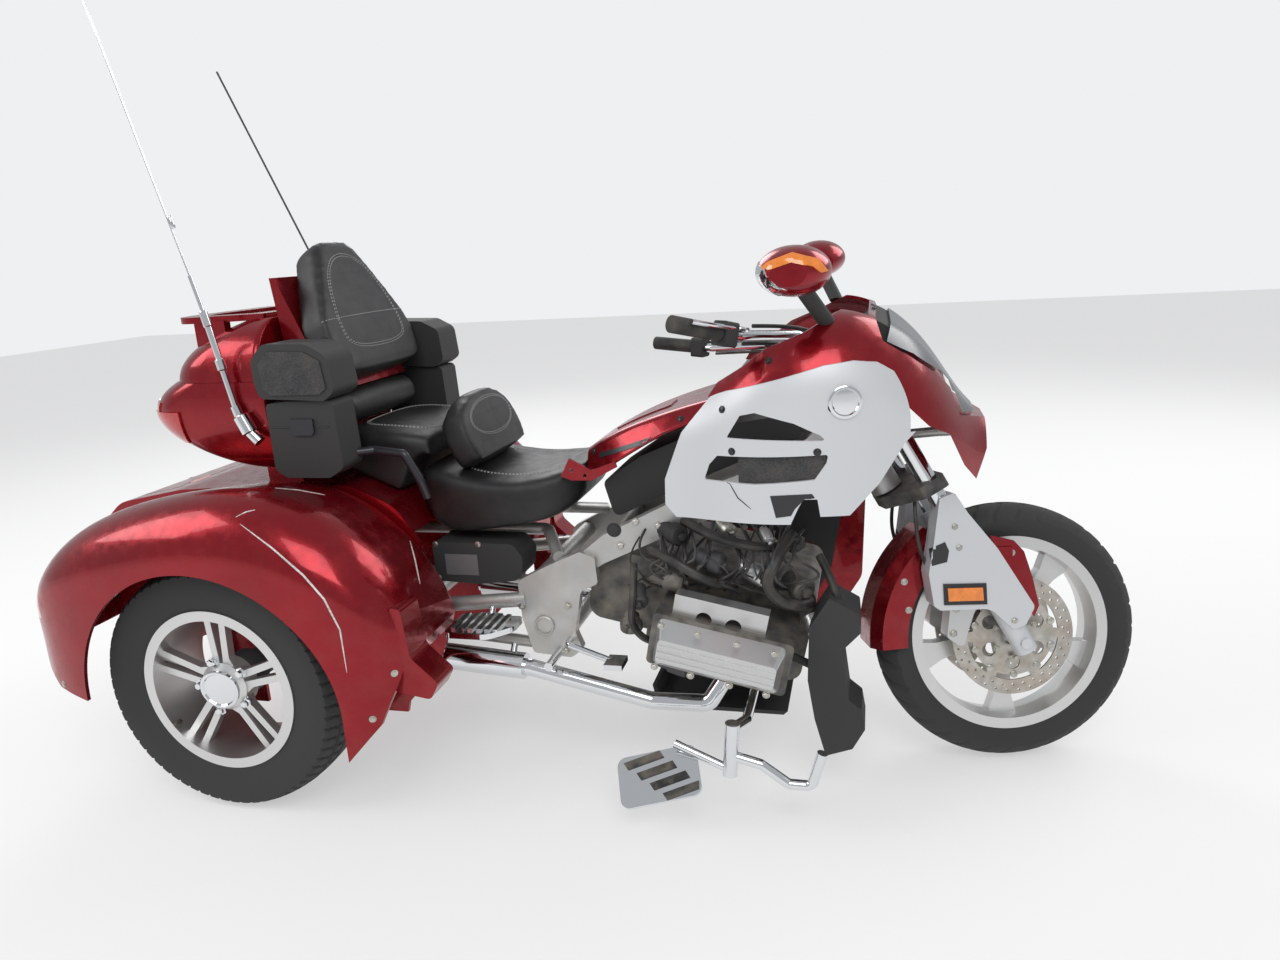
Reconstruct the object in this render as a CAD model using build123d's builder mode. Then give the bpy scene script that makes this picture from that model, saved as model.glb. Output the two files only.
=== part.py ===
"""Touring trike: a full-dress touring motorcycle on a two-wheeled rear body, crash-damaged.

Millimetres, +X forward, +Y the rider's left, +Z up, floor at Z = 0.
Tables give x from the rear axle, forward positive, and z from the floor.
"""
from build123d import *
from math import cos, radians, sin, tan
import os

os.makedirs("parts", exist_ok=True)

# Driving dimensions: the chassis
WHEELBASE = 1860
REAR_AXLE_X = -821.3
AXLE_HEIGHT = 320
FRONT_AXLE_HEIGHT = 321.9
RAKE = 29.25
TRAIL = 100
STEER_AT_REST = 17.7
FIT = 0.3

# Rear wheels
REAR_WHEEL_Y = 470
REAR_TYRE_RADIUS = 320
REAR_TYRE_WIDTH = 205
REAR_SEAT_RADIUS = 190.5
REAR_RIM_WIDTH = 178
REAR_LIP_RADIUS = 208
REAR_LIP_WALL = 9

# Front wheel
FRONT_TYRE_RADIUS = 319.5
FRONT_TYRE_WIDTH = 130
FRONT_SEAT_RADIUS = 228.6
FRONT_RIM_WIDTH = 98
FRONT_LIP_RADIUS = 242.5
FRONT_LIP_WALL = 6



def side_plane(y=0.0):
    """Sketch plane seen from the right: x forward, z up, normal towards the right side."""
    return Plane(origin=(REAR_AXLE_X, y, 0), x_dir=(1, 0, 0), z_dir=(0, -1, 0))


def cross_plane(x):
    """Sketch plane across the vehicle at x from the rear axle: y and z, normal forward."""
    return Plane(origin=(REAR_AXLE_X + x, 0, 0), x_dir=(0, 1, 0), z_dir=(1, 0, 0))


def level_plane(z):
    """Sketch plane level with the floor at height z: x forward, y to the left."""
    return Plane(origin=(REAR_AXLE_X, 0, z), x_dir=(1, 0, 0), z_dir=(0, 0, 1))


def place(x, y, z):
    """Point of the model for x from the rear axle."""
    return Vector(REAR_AXLE_X + x, y, z)


def face(points, plane, radii=0):
    """Closed outline on a plane, its corners rounded where radii are given."""
    with BuildSketch(plane) as sketch:
        with BuildLine():
            if radii:
                FilletPolyline(*points, radius=radii, close=True)
            else:
                Polyline(*points, close=True)
        make_face()
    return sketch.sketch


def slab(points, plane, thickness, radii=0, mode=Mode.ADD, both=False):
    """Plate of an outline on a plane."""
    extrude(face(points, plane, radii), amount=thickness, mode=mode, both=both)


def rod(points, radius, bend=0.0, mode=Mode.ADD):
    """Round bar along points of the model, with tangent bends."""
    with BuildLine() as path:
        if bend:
            FilletPolyline(*points, radius=bend)
        else:
            Polyline(*points)
    with BuildSketch(Plane(origin=path.line @ 0, z_dir=path.line % 0)) as section:
        Circle(radius)
    sweep(section.sketch, path=path.line, mode=mode, transition=Transition.ROUND)


# Steering: everything that turns is drawn straight ahead and turned to its place at rest
STEER_BASE = place(WHEELBASE + TRAIL, 0, 0)
STEER_DIRECTION = Vector(-sin(radians(RAKE)), 0, cos(radians(RAKE)))
STEERING_AXIS = Axis(STEER_BASE, STEER_DIRECTION)
STEER_DATUM = Plane(origin=STEER_BASE, x_dir=(cos(radians(RAKE)), 0, sin(radians(RAKE))), z_dir=STEER_DIRECTION)
STEER_TURN = STEER_DATUM.location * Location((0, 0, 0), (0, 0, STEER_AT_REST)) * STEER_DATUM.location.inverse()


def steered(plane):
    """The same plane after the front end has turned to its place at rest."""
    return Plane(STEER_TURN * plane.location)


def steered_point(x, y, z):
    """Point of the front end after it has turned."""
    return (STEER_TURN * Location(place(x, y, z))).position


def fork_plane(along, ahead=0.0, y=0.0):
    """Plane square to the steering axis: along the axis from the floor, ahead of it, to the left."""
    local = STEER_DATUM.location * Location((ahead, y, along))
    return Plane(STEER_TURN * local)


# Trike body
BODY_SKIN = 10
FENDER_INNER_Y = 290
FENDER_BASE_Z = 150
ARCH_RADIUS = 348
ARCH_X = 28
ARCH_Z = 302
ARCH_INNER_Y = 470
AXLE_HOLE_RADIUS = 72
TUB_FLOOR_Z = 405
LEDGE_OUTLINE = [(488, 552), (514, 548), (524, 432), (588, 372), (564, 331), (470, 345), (478, 470)]
LEDGE_RADII = [6, 10, 30, 14, 14, 20, 20]
LEDGE_Y = 505
LEDGE_HALF_WIDTH = 42
TUB_FRONT_X = 250
# x, outer y, crown z, shoulder radius
FENDER_SECTIONS = [
    (-515, 520, 545, 60),
    (-450, 590, 630, 90),
    (-300, 630, 742, 125),
    (-80, 640, 808, 135),
    (170, 640, 820, 135),
    (345, 625, 752, 130),
    (455, 590, 640, 110),
    (515, 530, 520, 60),
]
FENDER_CROWN_FILLET = 25
FENDER_VALLEY_DROP = 44
FENDER_CROWN_RISE = 12
FENDER_REAR_TRIM = [(-600, 100), (-600, 415), (-485, 388), (-417, 330), (-318, 307), (-225, 345), (-225, 100)]
FENDER_FRONT_TRIM = [(340, 100), (360, 178), (456, 282), (497, 379), (530, 480), (620, 480), (620, 100)]


def fender_loft(inset, mode=Mode.ADD):
    """Right fender's outer form, or its hollow where inset is the skin."""
    last = len(FENDER_SECTIONS) - 1
    faces = []
    for number, (x, outer, crown, shoulder) in enumerate(FENDER_SECTIONS):
        shift = inset if number == 0 else -inset if number == last else 0
        corners = [
            (-FENDER_INNER_Y - inset, FENDER_BASE_Z - 5 * inset),
            (-FENDER_INNER_Y - inset, crown - FENDER_VALLEY_DROP - inset),
            (-outer + inset, crown + FENDER_CROWN_RISE - inset),
            (-outer + inset, FENDER_BASE_Z - 5 * inset),
        ]
        radii = [0, FENDER_CROWN_FILLET - inset, shoulder - inset, 0]
        faces.append(face(corners, cross_plane(x + shift), radii))
    loft(faces, mode=mode)


TUB_PROFILE = [
    (-520, TUB_FLOOR_Z), (-532, 560), (-505, 660), (-440, 715), (-240, 752), (0, 765),
    (260, 768), (385, 712), (445, 615), (468, 480), (440, TUB_FLOOR_Z),
]
TUB_RADII = [30, 60, 60, 90, 200, 300, 120, 90, 90, 40, 20]
TUB_HALF_WIDTH = FENDER_INNER_Y - FIT
HATCH_HALF_WIDTH = 225
HATCH_FRONT_X = -305
HATCH_LOW_Z = 470
HATCH_JOINT = 6
HATCH_HINGE_RADIUS = 6
HATCH_HINGE_X = HATCH_FRONT_X - FIT - HATCH_HINGE_RADIUS
HATCH_HINGE_Y = 130
HATCH_HINGE_Z = 734
LAMP_LOW_Z = 505
LAMP_HIGH_Z = 600
LAMP_FRONT_X = -440
LAMP_INNER_Y = 470
LAMP_OUTER_Y = 700

# Each tail lamp is the piece of the fender's own skin that its corner leaves free
with BuildPart() as fender_shell:
    fender_loft(0)
    fender_loft(BODY_SKIN, Mode.SUBTRACT)
    with BuildSketch(side_plane(-ARCH_INNER_Y)) as arch:
        with Locations((ARCH_X, ARCH_Z)):
            Circle(ARCH_RADIUS)
        with Locations((ARCH_X, ARCH_Z - ARCH_RADIUS / 2)):
            Rectangle(2 * ARCH_RADIUS, ARCH_RADIUS)
    extrude(arch.sketch, amount=400, mode=Mode.SUBTRACT)
    slab(FENDER_REAR_TRIM, side_plane(), 900, mode=Mode.SUBTRACT)
    slab(FENDER_FRONT_TRIM, side_plane(), 900, mode=Mode.SUBTRACT)
    with BuildSketch(side_plane()) as axle_hole:
        with Locations((0, AXLE_HEIGHT)):
            Circle(AXLE_HOLE_RADIUS)
        with Locations((0, AXLE_HEIGHT - 150)):
            Rectangle(2 * AXLE_HOLE_RADIUS, 300)
    extrude(axle_hole.sketch, amount=400, mode=Mode.SUBTRACT)

LAMP_SIZE = (LAMP_FRONT_X + 600, LAMP_OUTER_Y - LAMP_INNER_Y, LAMP_HIGH_Z - LAMP_LOW_Z)
LAMP_MIDDLE = place(LAMP_FRONT_X - LAMP_SIZE[0] / 2, -(LAMP_OUTER_Y + LAMP_INNER_Y) / 2, (LAMP_LOW_Z + LAMP_HIGH_Z) / 2)

for side, word in ((-1, "right"), (1, "left")):
    with BuildPart() as rear_fender:
        add(fender_shell.part)
        with Locations(LAMP_MIDDLE):
            Box(*LAMP_SIZE, mode=Mode.SUBTRACT)
        slab(LEDGE_OUTLINE, side_plane(-LEDGE_Y), LEDGE_HALF_WIDTH, LEDGE_RADII, both=True)
        if side > 0:
            mirror(about=Plane.XZ, mode=Mode.REPLACE)
    rear_fender.part.label = f"rear_fender_{word}"
    export_step(rear_fender.part, f"parts/rear_fender_{word}.step")


def tub_form(mode=Mode.SUBTRACT):
    """The trunk's outer form, grown by the fitting gap, for what sits on its deck."""
    grown = offset(face(TUB_PROFILE, side_plane(), TUB_RADII), amount=FIT, mode=Mode.PRIVATE)
    extrude(grown, amount=TUB_HALF_WIDTH + FIT, both=True, mode=mode)


with BuildPart() as trike_body:
    slab(TUB_PROFILE, side_plane(), TUB_HALF_WIDTH, TUB_RADII, both=True)
    tub_inside = offset(face(TUB_PROFILE, side_plane(), TUB_RADII), amount=-BODY_SKIN, mode=Mode.PRIVATE)
    extrude(tub_inside, amount=TUB_HALF_WIDTH - BODY_SKIN, both=True, mode=Mode.SUBTRACT)
    # the shoulders under the seat are a hood, open below and in front
    with Locations(place(TUB_FRONT_X + 200, 0, TUB_FLOOR_Z + 100)):
        Box(400, 2 * (TUB_HALF_WIDTH - BODY_SKIN), 280, mode=Mode.SUBTRACT)
    with Locations(place(TUB_FRONT_X - BODY_SKIN / 2, 0, (TUB_FLOOR_Z + 765) / 2)):
        Box(BODY_SKIN, 2 * TUB_HALF_WIDTH - BODY_SKIN, 760 - TUB_FLOOR_Z - 10)
    with Locations(place(HATCH_FRONT_X - 200, 0, HATCH_LOW_Z + 200)):
        Box(400, 2 * (HATCH_HALF_WIDTH + HATCH_JOINT), 400, mode=Mode.SUBTRACT)
trike_body.part.label = "trike_body"
export_step(trike_body.part, "parts/trike_body.step")

with BuildPart() as trunk_hatch:
    slab(TUB_PROFILE, side_plane(), HATCH_HALF_WIDTH, TUB_RADII, both=True)
    hatch_inside = offset(face(TUB_PROFILE, side_plane(), TUB_RADII), amount=-BODY_SKIN, mode=Mode.PRIVATE)
    extrude(hatch_inside, amount=TUB_HALF_WIDTH, both=True, mode=Mode.SUBTRACT)
    with Locations(place(HATCH_FRONT_X - HATCH_JOINT - 200, 0, HATCH_LOW_Z + HATCH_JOINT + 200)):
        Box(400, 2 * HATCH_HALF_WIDTH, 400, mode=Mode.INTERSECT)
    for y in (-HATCH_HINGE_Y, HATCH_HINGE_Y):
        rod([place(HATCH_HINGE_X, y - 40, HATCH_HINGE_Z), place(HATCH_HINGE_X, y + 40, HATCH_HINGE_Z)], HATCH_HINGE_RADIUS)
trunk_hatch.part.label = "trunk_hatch"
export_step(trunk_hatch.part, "parts/trunk_hatch.step")

# Wheels
def tyre_profile(plane, radius, width, seat, bead, rim_lip):
    """Half tyre section doubled across the wheel's middle, as a closed face on a plane."""
    half = width / 2
    crown = radius - seat
    right = [
        (seat, bead),
        (rim_lip + FIT, bead),
        (rim_lip + 8, bead + 5),
        (seat + crown * 0.48, half),
        (seat + crown * 0.80, half * 0.95),
        (radius - crown * 0.05, half * 0.76),
        (radius, half * 0.45),
    ]
    left = [(r, -y) for r, y in reversed(right)]
    return face(right + left, plane)


def rear_wheel_plane(side):
    """Plane through a rear axle end: radius forward, the other way along the axle."""
    return Plane(origin=place(0, side * REAR_WHEEL_Y, AXLE_HEIGHT), x_dir=(1, 0, 0), z_dir=(0, 0, 1))


REAR_BARREL_WALL = 8
REAR_WELL_RADIUS = 150
REAR_HUB_RADIUS = 62
REAR_CAP_RADIUS = 42
REAR_FACE_SET_IN = 26
SPOKES = 5
SPOKE_TWIN_GAP = 9
SPOKE_TWIN_WIDTH = 17
SPOKE_DEPTH = 26
AXLE_HUB_BORE = 30

for side, word in ((-1, "right"), (1, "left")):
    wheel_plane = rear_wheel_plane(side)
    wheel_axis = Axis(wheel_plane.origin, (0, 1, 0))
    with BuildPart() as rear_tyre:
        revolve(
            tyre_profile(
                wheel_plane, REAR_TYRE_RADIUS, REAR_TYRE_WIDTH, REAR_SEAT_RADIUS,
                REAR_RIM_WIDTH / 2 - REAR_LIP_WALL, REAR_LIP_RADIUS,
            ),
            axis=wheel_axis,
        )
    rear_tyre.part.label = f"rear_tyre_{word}"
    export_step(rear_tyre.part, f"parts/rear_tyre_{word}.step")

    rim_half = REAR_RIM_WIDTH / 2
    barrel = REAR_SEAT_RADIUS - REAR_BARREL_WALL
    outward = side
    face_y = outward * (rim_half - REAR_FACE_SET_IN)
    with BuildPart() as rear_rim:
        rim_section = [
            (barrel, -rim_half), (REAR_LIP_RADIUS, -rim_half), (REAR_LIP_RADIUS, -rim_half + REAR_LIP_WALL - FIT),
            (REAR_SEAT_RADIUS - FIT, -rim_half + REAR_LIP_WALL - FIT),
            (REAR_SEAT_RADIUS - FIT, rim_half - REAR_LIP_WALL + FIT),
            (REAR_LIP_RADIUS, rim_half - REAR_LIP_WALL + FIT), (REAR_LIP_RADIUS, rim_half), (barrel, rim_half),
        ]
        revolve(face(rim_section, wheel_plane), axis=wheel_axis)
        hub_section = [
            (0, face_y + outward * 16), (REAR_CAP_RADIUS, face_y + outward * 12), (REAR_HUB_RADIUS, face_y),
            (REAR_HUB_RADIUS + 4, face_y - outward * 40), (AXLE_HUB_BORE, face_y - outward * 40),
            (AXLE_HUB_BORE, face_y - outward * 12), (0, face_y - outward * 12),
        ]
        revolve(face(hub_section, wheel_plane), axis=wheel_axis)
        spoke_plane = Plane(
            origin=wheel_plane.origin + Vector(0, face_y - outward * SPOKE_DEPTH, 0), x_dir=(1, 0, 0), z_dir=(0, outward, 0)
        )
        with BuildSketch(spoke_plane) as spokes:
            with PolarLocations(0, SPOKES, start_angle=90):
                for edge in (-1, 1):
                    Polygon(
                        (REAR_HUB_RADIUS - 8, edge * SPOKE_TWIN_GAP / 2),
                        (barrel + 3, edge * (SPOKE_TWIN_GAP / 2 + 8)),
                        (barrel + 3, edge * (SPOKE_TWIN_GAP / 2 + 8 + SPOKE_TWIN_WIDTH)),
                        (REAR_HUB_RADIUS + 12, edge * (SPOKE_TWIN_GAP / 2 + SPOKE_TWIN_WIDTH + 2)),
                        (REAR_HUB_RADIUS - 14, edge * (SPOKE_TWIN_GAP / 2 + SPOKE_TWIN_WIDTH + 14)),
                        align=None,
                    )
        extrude(spokes.sketch, amount=SPOKE_DEPTH - 4)
    rear_rim.part.label = f"rear_rim_{word}"
    export_step(rear_rim.part, f"parts/rear_rim_{word}.step")

FRONT_WHEEL_PLANE = steered(Plane(origin=place(WHEELBASE, 0, FRONT_AXLE_HEIGHT), x_dir=(1, 0, 0), z_dir=(0, 0, 1)))
FRONT_WHEEL_AXIS = Axis(FRONT_WHEEL_PLANE.origin, FRONT_WHEEL_PLANE.y_dir)
FRONT_BARREL_WALL = 7
FRONT_HUB_RADIUS = 38
FRONT_HUB_HALF = 48
FRONT_AXLE_BORE = 13
FRONT_SPOKE_WIDTH = 46
FRONT_SPOKE_THICK = 34
DISC_RADIUS = 148
DISC_INNER_RADIUS = 112
DISC_CARRIER_RADIUS = 100
DISC_THICK = 5
DISC_Y = 64
DISC_BOBBINS = 6

with BuildPart() as front_tyre:
    revolve(
        tyre_profile(
            FRONT_WHEEL_PLANE, FRONT_TYRE_RADIUS, FRONT_TYRE_WIDTH, FRONT_SEAT_RADIUS,
            FRONT_RIM_WIDTH / 2 - FRONT_LIP_WALL, FRONT_LIP_RADIUS,
        ),
        axis=FRONT_WHEEL_AXIS,
    )
front_tyre.part.label = "front_tyre"
export_step(front_tyre.part, "parts/front_tyre.step")

with BuildPart() as front_rim:
    rim_half = FRONT_RIM_WIDTH / 2
    barrel = FRONT_SEAT_RADIUS - FRONT_BARREL_WALL
    rim_section = [
        (barrel - 5, -rim_half), (FRONT_LIP_RADIUS, -rim_half),
        (FRONT_LIP_RADIUS, -rim_half + FRONT_LIP_WALL - FIT), (FRONT_SEAT_RADIUS - FIT, -rim_half + FRONT_LIP_WALL - FIT),
        (FRONT_SEAT_RADIUS - FIT, rim_half - FRONT_LIP_WALL + FIT), (FRONT_LIP_RADIUS, rim_half - FRONT_LIP_WALL + FIT),
        (FRONT_LIP_RADIUS, rim_half), (barrel - 5, rim_half), (barrel - 12, 0),
    ]
    revolve(face(rim_section, FRONT_WHEEL_PLANE), axis=FRONT_WHEEL_AXIS)
    hub_section = [
        (FRONT_AXLE_BORE, -FRONT_HUB_HALF), (FRONT_HUB_RADIUS, -FRONT_HUB_HALF), (FRONT_HUB_RADIUS - 6, -25),
        (FRONT_HUB_RADIUS - 6, 25), (FRONT_HUB_RADIUS, FRONT_HUB_HALF), (FRONT_AXLE_BORE, FRONT_HUB_HALF),
    ]
    revolve(face(hub_section, FRONT_WHEEL_PLANE), axis=FRONT_WHEEL_AXIS)
    front_spoke_plane = Plane(
        origin=FRONT_WHEEL_PLANE.origin, x_dir=FRONT_WHEEL_PLANE.x_dir, z_dir=FRONT_WHEEL_PLANE.y_dir
    )
    with BuildSketch(front_spoke_plane) as front_spokes:
        with PolarLocations(0, SPOKES, start_angle=20):
            Polygon(
                (FRONT_HUB_RADIUS - 12, -24), (70, -13), (barrel - 50, -FRONT_SPOKE_WIDTH / 2),
                (barrel - 6, -FRONT_SPOKE_WIDTH / 2 - 14), (barrel - 6, FRONT_SPOKE_WIDTH / 2 + 14),
                (barrel - 50, FRONT_SPOKE_WIDTH / 2), (70, 13), (FRONT_HUB_RADIUS - 12, 24), align=None,
            )
    extrude(front_spokes.sketch, amount=FRONT_SPOKE_THICK / 2, both=True)
    with BuildSketch(front_spoke_plane.offset(-FRONT_HUB_HALF)) as bore:
        Circle(FRONT_AXLE_BORE)
    extrude(bore.sketch, amount=2 * FRONT_HUB_HALF, mode=Mode.SUBTRACT)
front_rim.part.label = "front_rim"
export_step(front_rim.part, "parts/front_rim.step")

with BuildPart() as brake_discs:
    for side in (-1, 1):
        disc_plane = Plane(
            origin=FRONT_WHEEL_PLANE.origin + FRONT_WHEEL_PLANE.y_dir * side * (DISC_Y - DISC_THICK / 2),
            x_dir=FRONT_WHEEL_PLANE.x_dir, z_dir=FRONT_WHEEL_PLANE.y_dir * side,
        )
        with BuildSketch(disc_plane) as rotor:
            Circle(DISC_RADIUS)
            Circle(DISC_INNER_RADIUS, mode=Mode.SUBTRACT)
            with PolarLocations(DISC_RADIUS - 10, 30):
                Circle(3.2, mode=Mode.SUBTRACT)
            with PolarLocations(DISC_RADIUS - 24, 30, start_angle=6):
                Circle(3.2, mode=Mode.SUBTRACT)
        extrude(rotor.sketch, amount=DISC_THICK)
        with BuildSketch(disc_plane) as carrier:
            Circle(DISC_CARRIER_RADIUS)
            Circle(FRONT_AXLE_BORE + 12, mode=Mode.SUBTRACT)
            with PolarLocations(68, DISC_BOBBINS, start_angle=30):
                Circle(17, mode=Mode.SUBTRACT)
            with PolarLocations(DISC_CARRIER_RADIUS + 4, DISC_BOBBINS):
                Circle(13)
        extrude(carrier.sketch, amount=DISC_THICK)
        seat_section = [
            (FRONT_AXLE_BORE + 12, side * (FRONT_HUB_HALF + FIT)), (FRONT_HUB_RADIUS, side * (FRONT_HUB_HALF + FIT)),
            (FRONT_HUB_RADIUS, side * DISC_Y), (FRONT_AXLE_BORE + 12, side * DISC_Y),
        ]
        revolve(face(seat_section, FRONT_WHEEL_PLANE), axis=FRONT_WHEEL_AXIS)
brake_discs.part.label = "brake_discs"
export_step(brake_discs.part, "parts/brake_discs.step")

# Rear axle: differential, tubes, knuckles and the two carriers that hang it from the frame
AXLE_TUBE_RADIUS = 38
DIFF_RADIUS = 78
KNUCKLE_RADIUS = 55
KNUCKLE_LENGTH = 60
STUB_RADIUS = AXLE_HUB_BORE - FIT
HUB_INNER_Y = REAR_WHEEL_Y + REAR_RIM_WIDTH / 2 - REAR_FACE_SET_IN - 40
CARRIER_Y = 190
CARRIER_THICK = 30
CARRIER_TOP_Z = TUB_FLOOR_Z - 3
CARRIER_FRONT_X = 300
CROSS_TUBE_RADIUS = 22
CROSS_TUBE_X = CARRIER_FRONT_X + CROSS_TUBE_RADIUS + FIT

with BuildPart() as rear_axle:
    with BuildSketch(side_plane()) as tube:
        with Locations((0, AXLE_HEIGHT)):
            Circle(AXLE_TUBE_RADIUS)
    extrude(tube.sketch, amount=HUB_INNER_Y - 30, both=True)
    with BuildSketch(side_plane()) as diff:
        with Locations((0, AXLE_HEIGHT)):
            Circle(DIFF_RADIUS)
    extrude(diff.sketch, amount=80, both=True)
    for side in (-1, 1):
        with BuildSketch(side_plane(side * (HUB_INNER_Y - 1))) as knuckle:
            with Locations((0, AXLE_HEIGHT)):
                Circle(KNUCKLE_RADIUS)
        extrude(knuckle.sketch, amount=side * KNUCKLE_LENGTH)
        with BuildSketch(side_plane(side * (HUB_INNER_Y - 2))) as stub:
            with Locations((0, AXLE_HEIGHT)):
                Circle(STUB_RADIUS)
        extrude(stub.sketch, amount=-side * 28)
        carrier = [(-70, 335), (-50, 295), (50, 295), (90, 345), (CARRIER_FRONT_X, 345), (CARRIER_FRONT_X, CARRIER_TOP_Z), (-60, CARRIER_TOP_Z)]
        slab(carrier, side_plane(side * CARRIER_Y), CARRIER_THICK / 2, both=True)
rear_axle.part.label = "rear_axle"
export_step(rear_axle.part, "parts/rear_axle.step")

# Frame: twin spars from the steering head to the pivot plates, lower rails back to the trike body
HEAD_LOW = 790
HEAD_HIGH = 1030
HEAD_RADIUS = 38
STEM_RADIUS = 24
SPAR_THICK = 38
SPAR_NECK_Y = 30
PIVOT_PLATE_Y = 226
PIVOT_PLATE_THICK = 26
RAIL_RADIUS = 19
RAIL_Y = 232
NOSE_X = 1790
NOSE_WALL = 8
FAIRING_STAY_RADIUS = 12
SEAT_BASE_Z = 622
SEAT_BULGE = 5
SEAT_TUBE_RADIUS = 16
SEAT_TUBE_Y = 100
PIVOT_OUTLINE = [
    (672, 505), (748, 545), (842, 587), (880, 572), (884, 505), (838, 484), (815, 372),
    (832, 328), (801, 303), (699, 311), (676, 405),
]
PIVOT_RADII = [25, 15, 8, 8, 12, 22, 30, 8, 20, 12, 20]

with BuildPart() as frame:
    head_plane = Plane(STEER_DATUM.location * Location((0, 0, HEAD_LOW)))
    with BuildSketch(head_plane) as head:
        Circle(HEAD_RADIUS)
    extrude(head.sketch, amount=HEAD_HIGH - HEAD_LOW)
    for side in (-1, 1):
        spar = [
            (SPAR_NECK_Y, 1480, 845, 55), (150, 1330, 760, 45), (185, 1120, 690, 40), (205, 900, 590, 36), (205, 830, 540, 30),
        ]
        spar_faces = []
        for y, x, z, half in spar:
            spar_faces.append(
                face(
                    [(side * (y - SPAR_THICK / 2), z - half), (side * (y + SPAR_THICK / 2), z - half),
                     (side * (y + SPAR_THICK / 2), z + half), (side * (y - SPAR_THICK / 2), z + half)],
                    cross_plane(x),
                )
            )
        loft(spar_faces, ruled=True)
        slab(PIVOT_OUTLINE, side_plane(side * PIVOT_PLATE_Y), PIVOT_PLATE_THICK / 2, PIVOT_RADII, both=True)
        rod([place(690, side * RAIL_Y, 455), place(400, side * RAIL_Y, 425), place(CROSS_TUBE_X, side * 190, 388)], RAIL_RADIUS, 40)
        rod([place(690, side * 215, 330), place(480, side * 200, 340), place(CROSS_TUBE_X, side * 190, 368)], 15, 40)
        seat_tube_z = SEAT_BASE_Z - SEAT_BULGE - FIT - SEAT_TUBE_RADIUS
        rod(
            [place(780, side * 215, 565), place(715, side * SEAT_TUBE_Y, seat_tube_z), place(TUB_FRONT_X + FIT, side * SEAT_TUBE_Y, seat_tube_z)],
            SEAT_TUBE_RADIUS, 30,
        )
    stay_start = (STEER_DATUM.location * Location((HEAD_RADIUS - 6, 0, 920))).position
    rod([stay_start, place(1690, 0, 832), place(NOSE_X - NOSE_WALL - FIT, 0, 836)], FAIRING_STAY_RADIUS, 20)
    for x, z, radius in ((CROSS_TUBE_X, 378, CROSS_TUBE_RADIUS), (760, 330, 20), (720, 500, 22)):
        rod([place(x, -PIVOT_PLATE_Y, z), place(x, PIVOT_PLATE_Y, z)], radius)
    with BuildSketch(head_plane) as head_bore:
        Circle(STEM_RADIUS + FIT)
    extrude(head_bore.sketch, amount=HEAD_HIGH - HEAD_LOW, mode=Mode.SUBTRACT)
frame.part.label = "frame"
export_step(frame.part, "parts/frame.step")

# Engine: flat six, nose down by its tilt, its right bank open to view
ENGINE_TILT = 12
ENGINE_MIDDLE = place(1195, 0, 395)
CASE_SIZE = (400, 330, 250)
BANK_SIZE = (330, 700, 130)
COVER_LENGTH = 300
COVER_HEIGHT = 118
COVER_DEPTH = 48
ENGINE_PLANE = Plane(origin=ENGINE_MIDDLE, x_dir=(cos(radians(ENGINE_TILT)), 0, -sin(radians(ENGINE_TILT))), z_dir=(0, -1, 0))
PORT_LENGTH = 200
PORT_RADIUS = 19
ENGINE_BOLT_X = 890
ENGINE_BOLT_Z = 575
ENGINE_BOLT_RADIUS = 16
SPAR_FOOT_Y = 205

with BuildPart() as engine_block:
    with BuildSketch(ENGINE_PLANE) as case:
        RectangleRounded(CASE_SIZE[0], CASE_SIZE[2], 35)
    extrude(case.sketch, amount=CASE_SIZE[1] / 2, both=True)
    with BuildSketch(ENGINE_PLANE) as bank:
        with Locations((5, -8)):
            RectangleRounded(BANK_SIZE[0], BANK_SIZE[2], 12)
    extrude(bank.sketch, amount=BANK_SIZE[1] / 2, both=True)
    with BuildSketch(ENGINE_PLANE.offset(-CASE_SIZE[1] / 2)) as gearcase:
        with Locations((-CASE_SIZE[0] / 2 - 60, 15)):
            RectangleRounded(200, 190, 40)
    extrude(gearcase.sketch, amount=CASE_SIZE[1])
    rod([place(ENGINE_BOLT_X, -SPAR_FOOT_Y, ENGINE_BOLT_Z), place(ENGINE_BOLT_X, SPAR_FOOT_Y, ENGINE_BOLT_Z)], ENGINE_BOLT_RADIUS)
    add(frame.part, mode=Mode.SUBTRACT)
engine_block.part.label = "engine_block"
export_step(engine_block.part, "parts/engine_block.step")

with BuildPart() as valve_covers:
    for side in (-1, 1):
        cover_plane = ENGINE_PLANE.offset(-side * BANK_SIZE[1] / 2)
        with BuildSketch(cover_plane) as cover_foot:
            with Locations((5, -12)):
                RectangleRounded(COVER_LENGTH, COVER_HEIGHT, 14)
        with BuildSketch(cover_plane.offset(-side * COVER_DEPTH)) as cover_top:
            with Locations((5, -12)):
                RectangleRounded(COVER_LENGTH - 26, COVER_HEIGHT - 62, 10)
        loft([cover_foot.sketch, cover_top.sketch])
        with BuildSketch(cover_plane.offset(-side * (COVER_DEPTH - 12))) as ribs:
            for z in (-30, -14, 2):
                with Locations((5, z)):
                    Rectangle(COVER_LENGTH - 30, 5)
        extrude(ribs.sketch, amount=-side * 18)
valve_covers.part.label = "valve_covers"
export_step(valve_covers.part, "parts/valve_covers.step")

with BuildPart() as port_spacer:
    with BuildSketch(ENGINE_PLANE.offset(290)) as spacer:
        with Locations((-10, BANK_SIZE[2] / 2 - 8 + 24)):
            Rectangle(PORT_LENGTH + 20, 48)
        for x in (-45, 25):
            with Locations((x, BANK_SIZE[2] / 2 - 8)):
                Circle(PORT_RADIUS, mode=Mode.SUBTRACT)
    extrude(spacer.sketch, amount=40)
port_spacer.part.label = "port_spacer"
export_step(port_spacer.part, "parts/port_spacer.step")

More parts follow.
